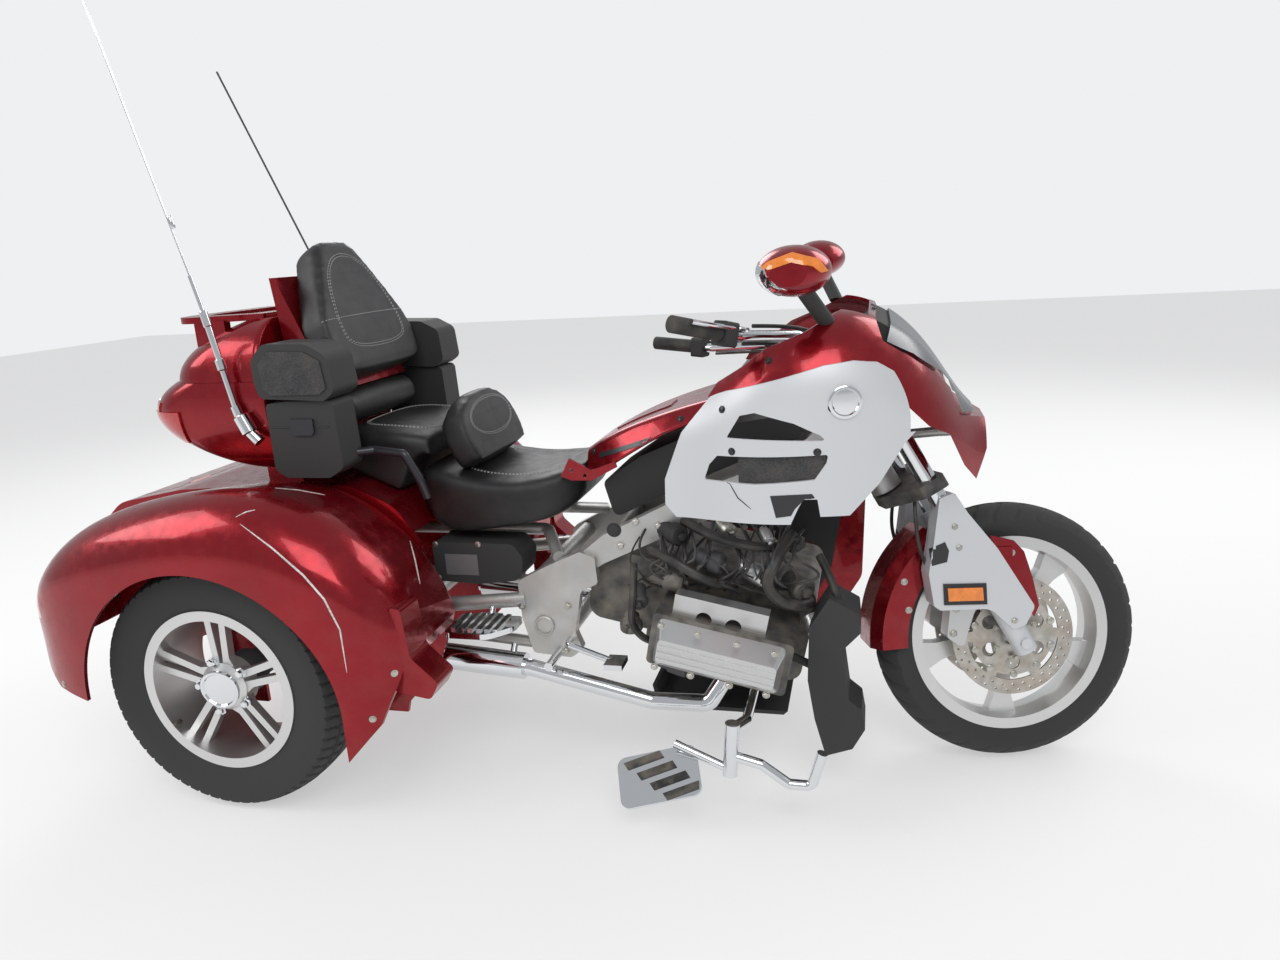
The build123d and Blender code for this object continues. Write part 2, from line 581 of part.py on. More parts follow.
# Exhaust: one pipe a side under the engine, with a bright sleeve under the footboard
EXHAUST_Y = 245
PIPE_RADIUS = 22
SLEEVE_RADIUS = 34
HANGER_X = 640
HANGER_RADIUS = 9
with BuildPart() as exhausts:
    for side in (-1, 1):
        rod(
            [place(1190, side * 230, 262), place(1150, side * 250, 205), place(1010, side * EXHAUST_Y, 200),
             place(690, side * EXHAUST_Y, 272), place(340, side * EXHAUST_Y, 300)],
            PIPE_RADIUS, 30,
        )
        rod([place(675, side * EXHAUST_Y, 275), place(352, side * EXHAUST_Y, 299)], SLEEVE_RADIUS)
        rod([place(HANGER_X, side * EXHAUST_Y, 292), place(HANGER_X, side * 212, 332)], HANGER_RADIUS)
    add(frame.part, mode=Mode.SUBTRACT)
exhausts.part.label = "exhausts"
export_step(exhausts.part, "parts/exhausts.step")

# Airbox and fuel tank under the shelter, seen through the side covers
AIRBOX_HALF_WIDTH = 120
with BuildPart() as airbox:
    slab(
        [(905, 640), (1120, 740), (1330, 830), (1395, 850), (1340, 900), (1150, 870), (980, 800), (880, 735)],
        side_plane(), AIRBOX_HALF_WIDTH, 18, both=True,
    )
    for side in (-1, 1):
        rod([place(1300, side * (AIRBOX_HALF_WIDTH - 15), 850), place(1300, side * 152, 770)], 10)
    add(frame.part, mode=Mode.SUBTRACT)
airbox.part.label = "airbox"
export_step(airbox.part, "parts/airbox.step")

# Fuel shelter: x, half width, low z, high z
SHELTER_SECTIONS = [(838, 118, 742, 815), (960, 180, 812, 880), (1080, 195, 876, 922), (1200, 205, 905, 955)]
TAB_Y = 172
with BuildPart() as fuel_shelter:
    shelter_faces = []
    for x, half, low, high in SHELTER_SECTIONS:
        corners = [(-half, low), (half, low), (half * 0.8, high), (-half * 0.8, high)]
        shelter_faces.append(face(corners, cross_plane(x), [6, 6, 26, 26]))
    loft(shelter_faces)
    # what is left of the torn panel beside the seat, with its bolt holes
    tab = [(788, 762), (812, 808), (868, 778), (930, 800), (934, 786), (868, 752), (815, 752)]
    slab(tab, side_plane(-TAB_Y), 3, both=True)
    with BuildSketch(side_plane(-TAB_Y)) as tab_holes:
        with Locations((815, 778), (850, 764)):
            Circle(5)
    extrude(tab_holes.sketch, amount=20, both=True, mode=Mode.SUBTRACT)
    for y in (-60, 60):
        rod([place(1110, y, 910), place(1110, y, 835)], 14)
    add(airbox.part, mode=Mode.SUBTRACT)
fuel_shelter.part.label = "fuel_shelter"
export_step(fuel_shelter.part, "parts/fuel_shelter.step")

# Fairing: one envelope, cut to the outline of each panel. x, half width, top z, top corner radius
FAIRING_SKIN = NOSE_WALL
FAIRING_LOW_Z = 640
FAIRING_SECTIONS = [
    (1060, 325, 1010, 130),
    (1250, 372, 1070, 150),
    (1430, 390, 1150, 165),
    (1560, 352, 1125, 165),
    (1690, 262, 1000, 150),
    (NOSE_X, 130, 880, 100),
]


def fairing_loft(grow, mode=Mode.ADD):
    """The fairing's envelope grown outwards by a distance, or drawn in where it is negative."""
    last = len(FAIRING_SECTIONS) - 1
    faces = []
    for number, (x, half, high, corner) in enumerate(FAIRING_SECTIONS):
        shift = grow if number == last else -40 if number == 0 else 0
        corners = [(-half - grow, FAIRING_LOW_Z), (-half - grow, high + grow), (half + grow, high + grow), (half + grow, FAIRING_LOW_Z)]
        faces.append(face(corners, cross_plane(x + shift), [0, corner + grow, corner + grow, 0]))
    loft(faces, mode=mode)


with BuildPart() as fairing_shell:
    fairing_loft(0)
    fairing_loft(-FAIRING_SKIN, Mode.SUBTRACT)

FAIRING_OUTLINE = [
    (1192, 980), (1212, 1009), (1271, 1045), (1320, 1081), (1400, 1112), (1475, 1151), (1523, 1152), (1544, 1130),
    (1560, 1086), (1615, 1049), (1676, 1000), (1706, 962), (1726, 905), (1810, 868), (1765, 758), (1735, 800),
    (1700, 878), (1655, 905), (1548, 1020), (1444, 1022), (1348, 996), (1236, 966),
]
LENS_OUTLINE = [
    (1568, 1084), (1622, 1053), (1683, 1003), (1713, 964), (1733, 908), (1830, 875), (1830, 960), (1640, 1160), (1590, 1160),
]
COCKPIT_HALF_WIDTH = 232

with BuildPart() as upper_fairing:
    add(fairing_shell.part)
    slab(FAIRING_OUTLINE, side_plane(), 500, mode=Mode.INTERSECT, both=True)
    with Locations(place(1250, 0, 1150)):
        Box(560, 2 * COCKPIT_HALF_WIDTH, 400, mode=Mode.SUBTRACT)
upper_fairing.part.label = "upper_fairing"
export_step(upper_fairing.part, "parts/upper_fairing.step")

with BuildPart() as headlamp_lens:
    add(fairing_shell.part)
    slab(LENS_OUTLINE, side_plane(), 500, mode=Mode.INTERSECT, both=True)
headlamp_lens.part.label = "headlamp_lens"
export_step(headlamp_lens.part, "parts/headlamp_lens.step")

COVER_OUTLINE = [
    (1087, 738), (1089, 797), (1131, 902), (1187, 978), (1236, 996), (1348, 1024), (1444, 1050), (1501, 1056),
    (1548, 1049), (1616, 1007), (1678, 961), (1678, 934), (1657, 928), (1606, 880), (1555, 800), (1519, 761),
    (1495, 735), (1435, 735), (1429, 773), (1400, 773), (1389, 753), (1373, 718), (1112, 710),
]
WINDOW_HIGH = [(1238, 900), (1270, 950), (1302, 957), (1383, 935), (1436, 909), (1448, 897)]
WINDOW_LOW = [(1183, 803), (1196, 838), (1216, 860), (1452, 868), (1448, 850), (1424, 815), (1300, 803)]
SLOT_VENT = [(1575, 800), (1632, 872), (1622, 880), (1566, 808)]

for side, word in ((-1, "right"), (1, "left")):
    with BuildPart() as side_cover:
        fairing_loft(FIT + FAIRING_SKIN)
        fairing_loft(FIT, Mode.SUBTRACT)
        slab(COVER_OUTLINE, side_plane(), -side * 500, mode=Mode.INTERSECT)
        slab(WINDOW_HIGH, side_plane(), -side * 500, 3, mode=Mode.SUBTRACT)
        slab(WINDOW_LOW, side_plane(), -side * 500, 5, mode=Mode.SUBTRACT)
        slab(SLOT_VENT, side_plane(), -side * 500, mode=Mode.SUBTRACT)
        with Locations(place(1200, side * 250, 1100)):
            Box(1400, 2 * 80, 400, mode=Mode.SUBTRACT)
    side_cover.part.label = f"side_cover_{word}"
    export_step(side_cover.part, f"parts/side_cover_{word}.step")

GRILLE_OUTLINE = [(1262, 790), (1262, 868), (1470, 868), (1470, 850), (1440, 790)]
GRILLE_THICK = 5
with BuildPart() as side_grilles:
    fairing_loft(0)
    fairing_loft(-GRILLE_THICK, Mode.SUBTRACT)
    slab(GRILLE_OUTLINE, side_plane(), 500, mode=Mode.INTERSECT, both=True)
side_grilles.part.label = "side_grilles"
export_step(side_grilles.part, "parts/side_grilles.step")

# Dash behind the headlamp, with the two mirror arms
DASH_HALF_WIDTH = 215
with BuildPart() as dash:
    slab([(1502, 1018), (1500, 1088), (1526, 1112), (1556, 1190), (1600, 1190), (1612, 1018)], side_plane(), DASH_HALF_WIDTH, both=True)
    fairing_loft(-FAIRING_SKIN - FIT, Mode.INTERSECT)
dash.part.label = "dash"
export_step(dash.part, "parts/dash.step")

# Mirror housings. y, x middle, z middle, length, height
MIRROR_SECTIONS = [(-345, 1398, 1232, 70, 50), (-400, 1392, 1240, 138, 96), (-455, 1390, 1242, 136, 92), (-500, 1386, 1240, 70, 50)]
with BuildPart() as mirror_housings:
    mirror_faces = []
    for y, x, z, length, height in MIRROR_SECTIONS:
        with BuildSketch(side_plane(y)) as mirror_section:
            with Locations((x, z)):
                Ellipse(length / 2, height / 2)
        mirror_faces.append(mirror_section.sketch)
    loft(mirror_faces)
    mirror(about=Plane.XZ)
mirror_housings.part.label = "mirror_housings"
export_step(mirror_housings.part, "parts/mirror_housings.step")

with BuildPart() as mirror_arms:
    rod([place(1462, -262, 1100), place(1392, -400, 1225)], 17)
    fairing_loft(FIT, Mode.SUBTRACT)
    mirror(about=Plane.XZ)
    add(mirror_housings.part, mode=Mode.SUBTRACT)
mirror_arms.part.label = "mirror_arms"
export_step(mirror_arms.part, "parts/mirror_arms.step")

# Seats. x, half width, low z, high z
RIDER_SEAT_SECTIONS = [
    (402, 165, 730, 788), (474, 206, SEAT_BASE_Z, 780), (570, 214, SEAT_BASE_Z, 760), (700, 205, 640, 756),
    (800, 155, 672, 775), (834, 90, 735, 790),
]
PASSENGER_SEAT_SECTIONS = [(190, 165, 742, 885), (280, 212, 738, 890), (372, 212, 750, 884), (398, 206, 800, 880), (448, 190, 806, 868)]


def cushion_loft(sections, low_radius, high_radius):
    """Upholstered block through sections of x, half width, low z and high z."""
    faces = []
    for x, half, low, high in sections:
        corners = [(-half, low), (half, low), (half, high), (-half, high)]
        faces.append(face(corners, cross_plane(x), [low_radius, low_radius, high_radius, high_radius]))
    loft(faces)


with BuildPart() as passenger_seat:
    cushion_loft(PASSENGER_SEAT_SECTIONS, 10, 24)
    tub_form()
passenger_seat.part.label = "passenger_seat"
export_step(passenger_seat.part, "parts/passenger_seat.step")

with BuildPart() as rider_seat:
    cushion_loft(RIDER_SEAT_SECTIONS, 12, 30)
rider_seat.part.label = "rider_seat"
export_step(rider_seat.part, "parts/rider_seat.step")

# Top box: tub and lid, as level sections. z, rear x, front x, half width, corner radius
BOX_WALL = 8
BOX_TUB_SECTIONS = [(800, -40, 82, 235, 60), (860, -212, 82, 292, 100), (940, -300, 82, 314, 120), (1036, -228, 82, 312, 115)]
BOX_LID_SECTIONS = [(1036 + FIT, -226, 70, 308, 115), (1090, -200, 66, 300, 112), (1140, -132, 61, 272, 100), (1184, -16, 54, 205, 34)]


def box_loft(sections, inset, rise=0.0, mode=Mode.ADD):
    """Level sections of the top box, drawn in by an inset and raised at the first one."""
    faces = []
    for number, (z, rear, front, half, corner) in enumerate(sections):
        lift = rise if number == 0 else 0
        corners = [(rear + inset, -half + inset), (front - inset, -half + inset), (front - inset, half - inset), (rear + inset, half - inset)]
        faces.append(face(corners, level_plane(z + lift), [corner - inset, 12, 12, corner - inset]))
    loft(faces, mode=mode)


with BuildPart() as top_box_tub:
    box_loft(BOX_TUB_SECTIONS, 0)
    box_loft(BOX_TUB_SECTIONS, BOX_WALL, BOX_WALL, mode=Mode.SUBTRACT)
    slab([(-30, 740), (74, 740), (74, 806), (-30, 806)], side_plane(), 200, both=True)
    tub_form()
top_box_tub.part.label = "top_box_tub"
export_step(top_box_tub.part, "parts/top_box_tub.step")

BOX_LAMP_PROUD = 6
BOX_LAMP_SIZE = (150, 190, 84)
BOX_LAMP_MIDDLE = place(-250, -235, 922)
with BuildPart() as box_lamp:
    box_loft(BOX_TUB_SECTIONS, -BOX_LAMP_PROUD)
    box_loft(BOX_TUB_SECTIONS, -FIT, mode=Mode.SUBTRACT)
    with Locations(BOX_LAMP_MIDDLE):
        Box(*BOX_LAMP_SIZE, mode=Mode.INTERSECT)

# Lamps: the lenses let into the fenders, and those on the top box's rear corners
with BuildPart() as tail_lamps:
    add(fender_shell.part)
    with Locations(LAMP_MIDDLE):
        Box(LAMP_SIZE[0] - 2 * FIT, LAMP_SIZE[1] - 2 * FIT, LAMP_SIZE[2] - 2 * FIT, mode=Mode.INTERSECT)
    add(box_lamp.part)
    mirror(about=Plane.XZ)
tail_lamps.part.label = "tail_lamps"
export_step(tail_lamps.part, "parts/tail_lamps.step")

RACK_HALF_WIDTH = 262
RACK_THICK = 16
RACK_Z = 1180
with BuildPart() as top_box_lid:
    box_loft(BOX_LID_SECTIONS, 0)
    box_loft(BOX_LID_SECTIONS[:2], BOX_WALL, -1, mode=Mode.SUBTRACT)
    rack = [(-224, -150), (-190, -RACK_HALF_WIDTH), (30, -200), (30, 200), (-190, RACK_HALF_WIDTH), (-224, 150)]
    rack_slot = [(-165, -120), (-140, -195), (-20, -165), (-20, 165), (-140, 195), (-165, 120)]
    slab(rack, level_plane(RACK_Z), RACK_THICK, [90, 60, 20, 20, 60, 90])
    slab(rack_slot, level_plane(RACK_Z - 1), RACK_THICK + 2, [40, 30, 20, 20, 30, 40], mode=Mode.SUBTRACT)
    for side in (-1, 1):
        slab([(-150, 1095), (-100, 1115), (-60, 1150), (-60, RACK_Z + 4), (-150, RACK_Z + 4)], side_plane(side * 225), 12, both=True)
top_box_lid.part.label = "top_box_lid"
export_step(top_box_lid.part, "parts/top_box_lid.step")

# Shell behind the backrest, joined to the tub's front, with the pods and pockets beside it
BACKREST_LEAN = 22.5
BACKREST_FOOT_X = 196
BACKREST_FOOT_Z = 988
LUMBAR_RADIUS = 46
SHELL_HALF_WIDTH = 195
SHELL_TOP_Z = 1282
SHELL_EDGE = 14
POD_INNER_Y = 238
POD_OUTER_Y = 352
LID_HINGE_RADIUS = 8
LID_HINGE_X = 72
LID_HINGE_Y = 120
LID_HINGE_Z = 1184
with BuildPart() as backrest_shell:
    back_foot = (BACKREST_FOOT_X - FIT / cos(radians(BACKREST_LEAN)), BACKREST_FOOT_Z)
    back_top = (back_foot[0] - (SHELL_TOP_Z - BACKREST_FOOT_Z) * tan(radians(BACKREST_LEAN)), SHELL_TOP_Z)
    lumbar_front = BACKREST_FOOT_X - LUMBAR_RADIUS - FIT
    slab(
        [(82 + FIT, 830), (100, 830), (lumbar_front, 905), (lumbar_front, 985), back_foot, back_top, (back_top[0] - SHELL_EDGE, SHELL_TOP_Z), (84, 1040)],
        side_plane(), SHELL_HALF_WIDTH, both=True,
    )
    for y in (-LID_HINGE_Y, LID_HINGE_Y):
        rod([place(LID_HINGE_X, y - 30, LID_HINGE_Z), place(LID_HINGE_X, y + 30, LID_HINGE_Z)], LID_HINGE_RADIUS)
        rod([place(LID_HINGE_X, y, LID_HINGE_Z), place(LID_HINGE_X + 26, y, LID_HINGE_Z)], LID_HINGE_RADIUS - 2)
backrest_shell.part.label = "backrest_shell"
export_step(backrest_shell.part, "parts/backrest_shell.step")

with BuildPart() as speaker_pods:
    pod = [(95, 1000), (86, 1040), (86, 1095), (125, 1132), (240, 1128), (292, 1100), (300, 1012), (270, 992)]
    slab(pod, side_plane(-POD_INNER_Y), POD_OUTER_Y - POD_INNER_Y, [20, 10, 25, 25, 30, 25, 20, 20])
    slab([(101, 1040), (101, 1090), (125, 1090), (125, 1040)], side_plane(-(SHELL_HALF_WIDTH + FIT)), POD_INNER_Y - SHELL_HALF_WIDTH)
    mirror(about=Plane.XZ)
speaker_pods.part.label = "speaker_pods"
export_step(speaker_pods.part, "parts/speaker_pods.step")

with BuildPart() as side_pockets:
    pocket = [(101, 820), (101, 985), (160, 991), (285, 991), (292, 825), (250, 800), (130, 800)]
    slab(pocket, side_plane(-(POD_INNER_Y + 12)), 92, [15, 10, 10, 15, 20, 15, 15])
    slab([(101, 915), (101, 980), (125, 980), (125, 915)], side_plane(-(SHELL_HALF_WIDTH + FIT)), 62)
    mirror(about=Plane.XZ)
side_pockets.part.label = "side_pockets"
export_step(side_pockets.part, "parts/side_pockets.step")

# Passenger backrest: shield outline on a leaned plane, and the lumbar roll under it
BACKREST_FOOT = place(BACKREST_FOOT_X, 0, BACKREST_FOOT_Z)
BACKREST_THICK = 82


def leaned_plane(foot, lean):
    """Plane leaned back from upright: y to the right side, up the cushion, normal forward."""
    tilt = radians(lean)
    return Plane(origin=foot, x_dir=(0, 1, 0), z_dir=(cos(tilt), 0, sin(tilt)))


with BuildPart() as passenger_backrest:
    shield = [(-190, 22), (-222, 110), (-205, 170), (-120, 300), (-78, 370), (78, 370), (120, 300), (205, 170), (222, 110), (190, 22)]
    slab(shield, leaned_plane(BACKREST_FOOT, BACKREST_LEAN), BACKREST_THICK, [40, 50, 50, 90, 60, 60, 90, 50, 50, 40])
passenger_backrest.part.label = "passenger_backrest"
export_step(passenger_backrest.part, "parts/passenger_backrest.step")

with BuildPart() as lumbar_roll:
    lumbar_z = BACKREST_FOOT_Z - LUMBAR_RADIUS - 2
    rod([place(BACKREST_FOOT_X, -178, lumbar_z), place(BACKREST_FOOT_X, 178, lumbar_z)], LUMBAR_RADIUS)
lumbar_roll.part.label = "lumbar_roll"
export_step(lumbar_roll.part, "parts/lumbar_roll.step")

RIDER_BACK_LEAN = 24
with BuildPart() as rider_backrest:
    bean = [(-165, 0), (-182, 80), (-150, 135), (-60, 172), (60, 172), (150, 135), (182, 80), (165, 0)]
    slab(bean, leaned_plane(place(512, 0, 768), RIDER_BACK_LEAN), 74, [30, 60, 50, 60, 60, 50, 60, 30])
    add(rider_seat.part, mode=Mode.SUBTRACT)
rider_backrest.part.label = "rider_backrest"
export_step(rider_backrest.part, "parts/rider_backrest.step")

GRAB_RADIUS = 11
GRAB_Y = 245
with BuildPart() as grab_rails:
    for side in (-1, 1):
        rod(
            [place(272, side * 270, 846), place(325, side * GRAB_Y, 848), place(405, side * GRAB_Y, 838),
             place(440, side * GRAB_Y, 770), place(450, side * 236, 722)],
            GRAB_RADIUS, 14,
        )
    add(side_pockets.part, mode=Mode.SUBTRACT)
grab_rails.part.label = "grab_rails"
export_step(grab_rails.part, "parts/grab_rails.step")

# Antennas, both raked back; the right one on a stepped mast
ANTENNA_BASE_RADIUS = 15
ANTENNA_Y = 314 + ANTENNA_BASE_RADIUS + FIT
with BuildPart() as antenna_right:
    rod([place(60, -ANTENNA_Y, 890), place(18, -ANTENNA_Y, 935)], ANTENNA_BASE_RADIUS)
    rod([place(18, -ANTENNA_Y, 935), place(5, -ANTENNA_Y, 980)], 12)
    rod([place(5, -ANTENNA_Y, 980), place(-37, -ANTENNA_Y, 1198)], 8)
    rod([place(-37, -ANTENNA_Y, 1198), place(-60, -ANTENNA_Y, 1300)], 5)
    rod([place(-60, -ANTENNA_Y, 1300), place(-235, -ANTENNA_Y, 2010)], 2.5)
antenna_right.part.label = "antenna_right"
export_step(antenna_right.part, "parts/antenna_right.step")

with BuildPart() as antenna_left:
    rod([place(60, ANTENNA_Y, 890), place(18, ANTENNA_Y, 935)], ANTENNA_BASE_RADIUS)
    rod([place(18, ANTENNA_Y, 935), place(-10, ANTENNA_Y, 1000)], 9)
    rod([place(-10, ANTENNA_Y, 1000), place(-383, ANTENNA_Y, 1888)], 3)
antenna_left.part.label = "antenna_left"
export_step(antenna_left.part, "parts/antenna_left.step")

# Side case, footboards and foot controls
with BuildPart() as side_case:
    slab([(440, 492), (436, 598), (660, 596), (684, 560), (674, 500), (560, 486)], side_plane(-(SEAT_TUBE_Y + SEAT_TUBE_RADIUS + FIT)), 103, [20, 15, 30, 30, 30, 60])
side_case.part.label = "side_case"
export_step(side_case.part, "parts/side_case.step")

BOARD_THICK = 14
PIVOT_FACE_Y = PIVOT_PLATE_Y + PIVOT_PLATE_THICK / 2 + FIT
with BuildPart() as passenger_boards:
    slab([(524, -265), (524, -385), (640, -385), (690, -330), (690, -265)], level_plane(408), BOARD_THICK, [12, 20, 40, 30, 12])
    for x in range(545, 670, 22):
        with Locations(place(x, -318, 408 + BOARD_THICK + 3)):
            Box(12, 96, 6)
    with Locations(place(600, -258, 408 + BOARD_THICK / 2)):
        Box(60, 14, BOARD_THICK)
    rod([place(600, -262, 408 + BOARD_THICK / 2), place(600, -RAIL_Y, 446)], 8)
    add(frame.part, mode=Mode.SUBTRACT)
    mirror(about=Plane.XZ)
passenger_boards.part.label = "passenger_boards"
export_step(passenger_boards.part, "parts/passenger_boards.step")

with BuildPart() as foot_controls:
    rod([place(770, -PIVOT_FACE_Y, 318), place(770, -330, 318)], 11)
    rod([place(800, -PIVOT_FACE_Y, 350), place(800, -262, 350), place(915, -275, 318)], 8, 10)
    with Locations(place(930, -285, 318)):
        Box(46, 60, 14)
    mirror(about=Plane.XZ)
foot_controls.part.label = "foot_controls"
export_step(foot_controls.part, "parts/foot_controls.step")

GUARD_X = 1262
GUARD_Z = 236
GUARD_RADIUS = 12
GUARD_BOSS_Y = 130
GUARD_BOSS_RADIUS = 10

# Lower cowls: whole on the left, a torn duct and pan on the right
with BuildPart() as lower_cowl_left:
    cowl = [(1010, 300), (1050, 560), (1120, 640), (1440, 690), (1520, 560), (1510, 300), (1430, 170), (1120, 170)]
    slab(cowl, side_plane(418), -8, [40, 60, 40, 40, 60, 60, 60, 60])
    slab([(1060, 310), (1060, 460), (1370, 400), (1350, 260)], side_plane(425), 30, 14, mode=Mode.SUBTRACT)
    with BuildSketch(side_plane(418)) as guard_hole:
        with Locations((GUARD_X, GUARD_Z)):
            Circle(GUARD_RADIUS + FIT)
    extrude(guard_hole.sketch, amount=30, both=True, mode=Mode.SUBTRACT)
lower_cowl_left.part.label = "lower_cowl_left"
export_step(lower_cowl_left.part, "parts/lower_cowl_left.step")

with BuildPart() as front_duct:
    duct = [(1400, 432), (1446, 507), (1512, 470), (1516, 425), (1474, 379), (1489, 256), (1518, 232), (1526, 182), (1497, 129), (1435, 106), (1410, 200), (1395, 300)]
    slab(duct, side_plane(-175), 110, 6)
    rod([place(1430, -230, 300), place(1330, -230, 345)], 10)
    add(engine_block.part, mode=Mode.SUBTRACT)
front_duct.part.label = "front_duct"
export_step(front_duct.part, "parts/front_duct.step")

with BuildPart() as belly_pan:
    slab([(1000, 225), (1010, 180), (1130, 165), (1330, 165), (1340, 175), (1140, 175), (1020, 190), (1010, 225)], side_plane(), 210, both=True)
    for y in (-150, 150):
        rod([place(1180, y, 172), place(1180, y, 268)], 8)
belly_pan.part.label = "belly_pan"
export_step(belly_pan.part, "parts/belly_pan.step")

# Highway boards: the right one torn down and hanging, the left one in place on its guard
with BuildPart() as highway_board_right:
    board_plane = Plane(origin=place(1068, -452, 118), x_dir=(0.80, 0.20, 0.10), z_dir=(-0.05, -0.62, 0.78))
    with BuildSketch(board_plane) as board:
        RectangleRounded(190, 120, 22)
    extrude(board.sketch, amount=10)
    rod([place(1100, -420, 190), place(1225, -430, 142)], 10)
    rod([place(1228, -430, 128), place(1238, -430, 258)], 17)
    rod([place(1236, -430, 176), place(1300, -430, 160), place(1361, -430, 116), place(1412, -430, 116), place(1436, -430, 200)], 12, 18)
    rod([place(1238, -430, 245), place(GUARD_X, -370, GUARD_Z), place(GUARD_X, -60, GUARD_Z)], GUARD_RADIUS, 24)
    rod([place(GUARD_X, -GUARD_BOSS_Y, GUARD_Z), place(GUARD_X, -GUARD_BOSS_Y, GUARD_Z + 60)], GUARD_BOSS_RADIUS)
    add(engine_block.part, mode=Mode.SUBTRACT)
highway_board_right.part.label = "highway_board_right"
export_step(highway_board_right.part, "parts/highway_board_right.step")

with BuildPart() as highway_board_left:
    board_plane = Plane(origin=place(1290, 496, 318), x_dir=(1, 0, 0.35), z_dir=(-0.35, 0, 1))
    with BuildSketch(board_plane) as board:
        RectangleRounded(190, 120, 22)
    extrude(board.sketch, amount=10)
    rod([place(GUARD_X, 60, GUARD_Z), place(GUARD_X, 476, GUARD_Z), place(1286, 496, 318)], GUARD_RADIUS, 24)
    rod([place(GUARD_X, GUARD_BOSS_Y, GUARD_Z), place(GUARD_X, GUARD_BOSS_Y, GUARD_Z + 60)], GUARD_BOSS_RADIUS)
    add(engine_block.part, mode=Mode.SUBTRACT)
highway_board_left.part.label = "highway_board_left"
export_step(highway_board_left.part, "parts/highway_board_left.step")

# Front end. Fork legs run beside the steering axis, ahead of it by the yoke offset
AXLE_LOCAL = STEER_DATUM.to_local_coords(place(WHEELBASE, 0, FRONT_AXLE_HEIGHT))
FORK_AHEAD = AXLE_LOCAL.X
AXLE_ALONG = AXLE_LOCAL.Z
FORK_HALF_SPAN = 112
FORK_TUBE_RADIUS = 22
FORK_LOWER_RADIUS = 27
LOWER_TOP = AXLE_ALONG + 330
YOKE_THICK = 30
YOKE_CLEAR = 5
TUBE_ABOVE_YOKE = 5
FRONT_AXLE_RADIUS = FRONT_AXLE_BORE - FIT

with BuildPart() as fork_yokes:
    for along in (HEAD_LOW - YOKE_THICK - YOKE_CLEAR, HEAD_HIGH + YOKE_CLEAR):
        with BuildSketch(fork_plane(along)) as yoke:
            with BuildLine():
                FilletPolyline(
                    (-34, -34), (-34, 34), (FORK_AHEAD - 30, FORK_HALF_SPAN + 32), (FORK_AHEAD + 34, FORK_HALF_SPAN + 32),
                    (FORK_AHEAD + 34, -FORK_HALF_SPAN - 32), (FORK_AHEAD - 30, -FORK_HALF_SPAN - 32), radius=14, close=True,
                )
            make_face()
            with Locations((FORK_AHEAD, FORK_HALF_SPAN), (FORK_AHEAD, -FORK_HALF_SPAN)):
                Circle(FORK_TUBE_RADIUS + FIT, mode=Mode.SUBTRACT)
        extrude(yoke.sketch, amount=YOKE_THICK)
    with BuildSketch(fork_plane(HEAD_LOW - YOKE_CLEAR - 1)) as stem:
        Circle(STEM_RADIUS)
    extrude(stem.sketch, amount=HEAD_HIGH - HEAD_LOW + 2 * YOKE_CLEAR + 2)
fork_yokes.part.label = "fork_yokes"
export_step(fork_yokes.part, "parts/fork_yokes.step")

with BuildPart() as fork_tubes:
    for y in (-FORK_HALF_SPAN, FORK_HALF_SPAN):
        with BuildSketch(fork_plane(LOWER_TOP + FIT, FORK_AHEAD, y)) as tube:
            Circle(FORK_TUBE_RADIUS)
        extrude(tube.sketch, amount=HEAD_HIGH + YOKE_CLEAR + YOKE_THICK + TUBE_ABOVE_YOKE - LOWER_TOP)
fork_tubes.part.label = "fork_tubes"
export_step(fork_tubes.part, "parts/fork_tubes.step")

# Lower legs with their bright covers, joined by the wheel's axle
COVER_OUTER_Y = FORK_HALF_SPAN + 34
COVER_INNER_Y = FORK_HALF_SPAN - 22
COVER_SIDE = [
    (1655, 677), (1690, 690), (1722, 640), (1790, 555), (1879, 412), (1857, 368), (1828, 359), (1773, 411),
    (1655, 412), (1640, 423), (1628, 500), (1640, 568),
]
COVER_SIDE_RADII = [6, 6, 10, 20, 14, 14, 10, 40, 12, 10, 20, 12]
with BuildPart() as fork_covers:
    for side in (-1, 1):
        leg_plane = steered(side_plane(side * (COVER_OUTER_Y + COVER_INNER_Y) / 2))
        slab(COVER_SIDE, leg_plane, (COVER_OUTER_Y - COVER_INNER_Y) / 2, COVER_SIDE_RADII, both=True)
        with BuildSketch(fork_plane(AXLE_ALONG - 26, FORK_AHEAD, side * FORK_HALF_SPAN)) as lower:
            Circle(FORK_LOWER_RADIUS)
        extrude(lower.sketch, amount=LOWER_TOP - AXLE_ALONG + 26)
    for y in (-FORK_HALF_SPAN, FORK_HALF_SPAN):
        with BuildSketch(fork_plane(LOWER_TOP, FORK_AHEAD, y)) as tube_bore:
            Circle(FORK_TUBE_RADIUS + FIT)
        extrude(tube_bore.sketch, amount=200, mode=Mode.SUBTRACT)
    axle_plane = Plane(origin=FRONT_WHEEL_PLANE.origin, x_dir=FRONT_WHEEL_PLANE.x_dir, z_dir=FRONT_WHEEL_PLANE.y_dir)
    with BuildSketch(axle_plane.offset(-COVER_OUTER_Y)) as axle:
        Circle(FRONT_AXLE_RADIUS)
    extrude(axle.sketch, amount=2 * COVER_OUTER_Y)
fork_covers.part.label = "fork_covers"
export_step(fork_covers.part, "parts/fork_covers.step")

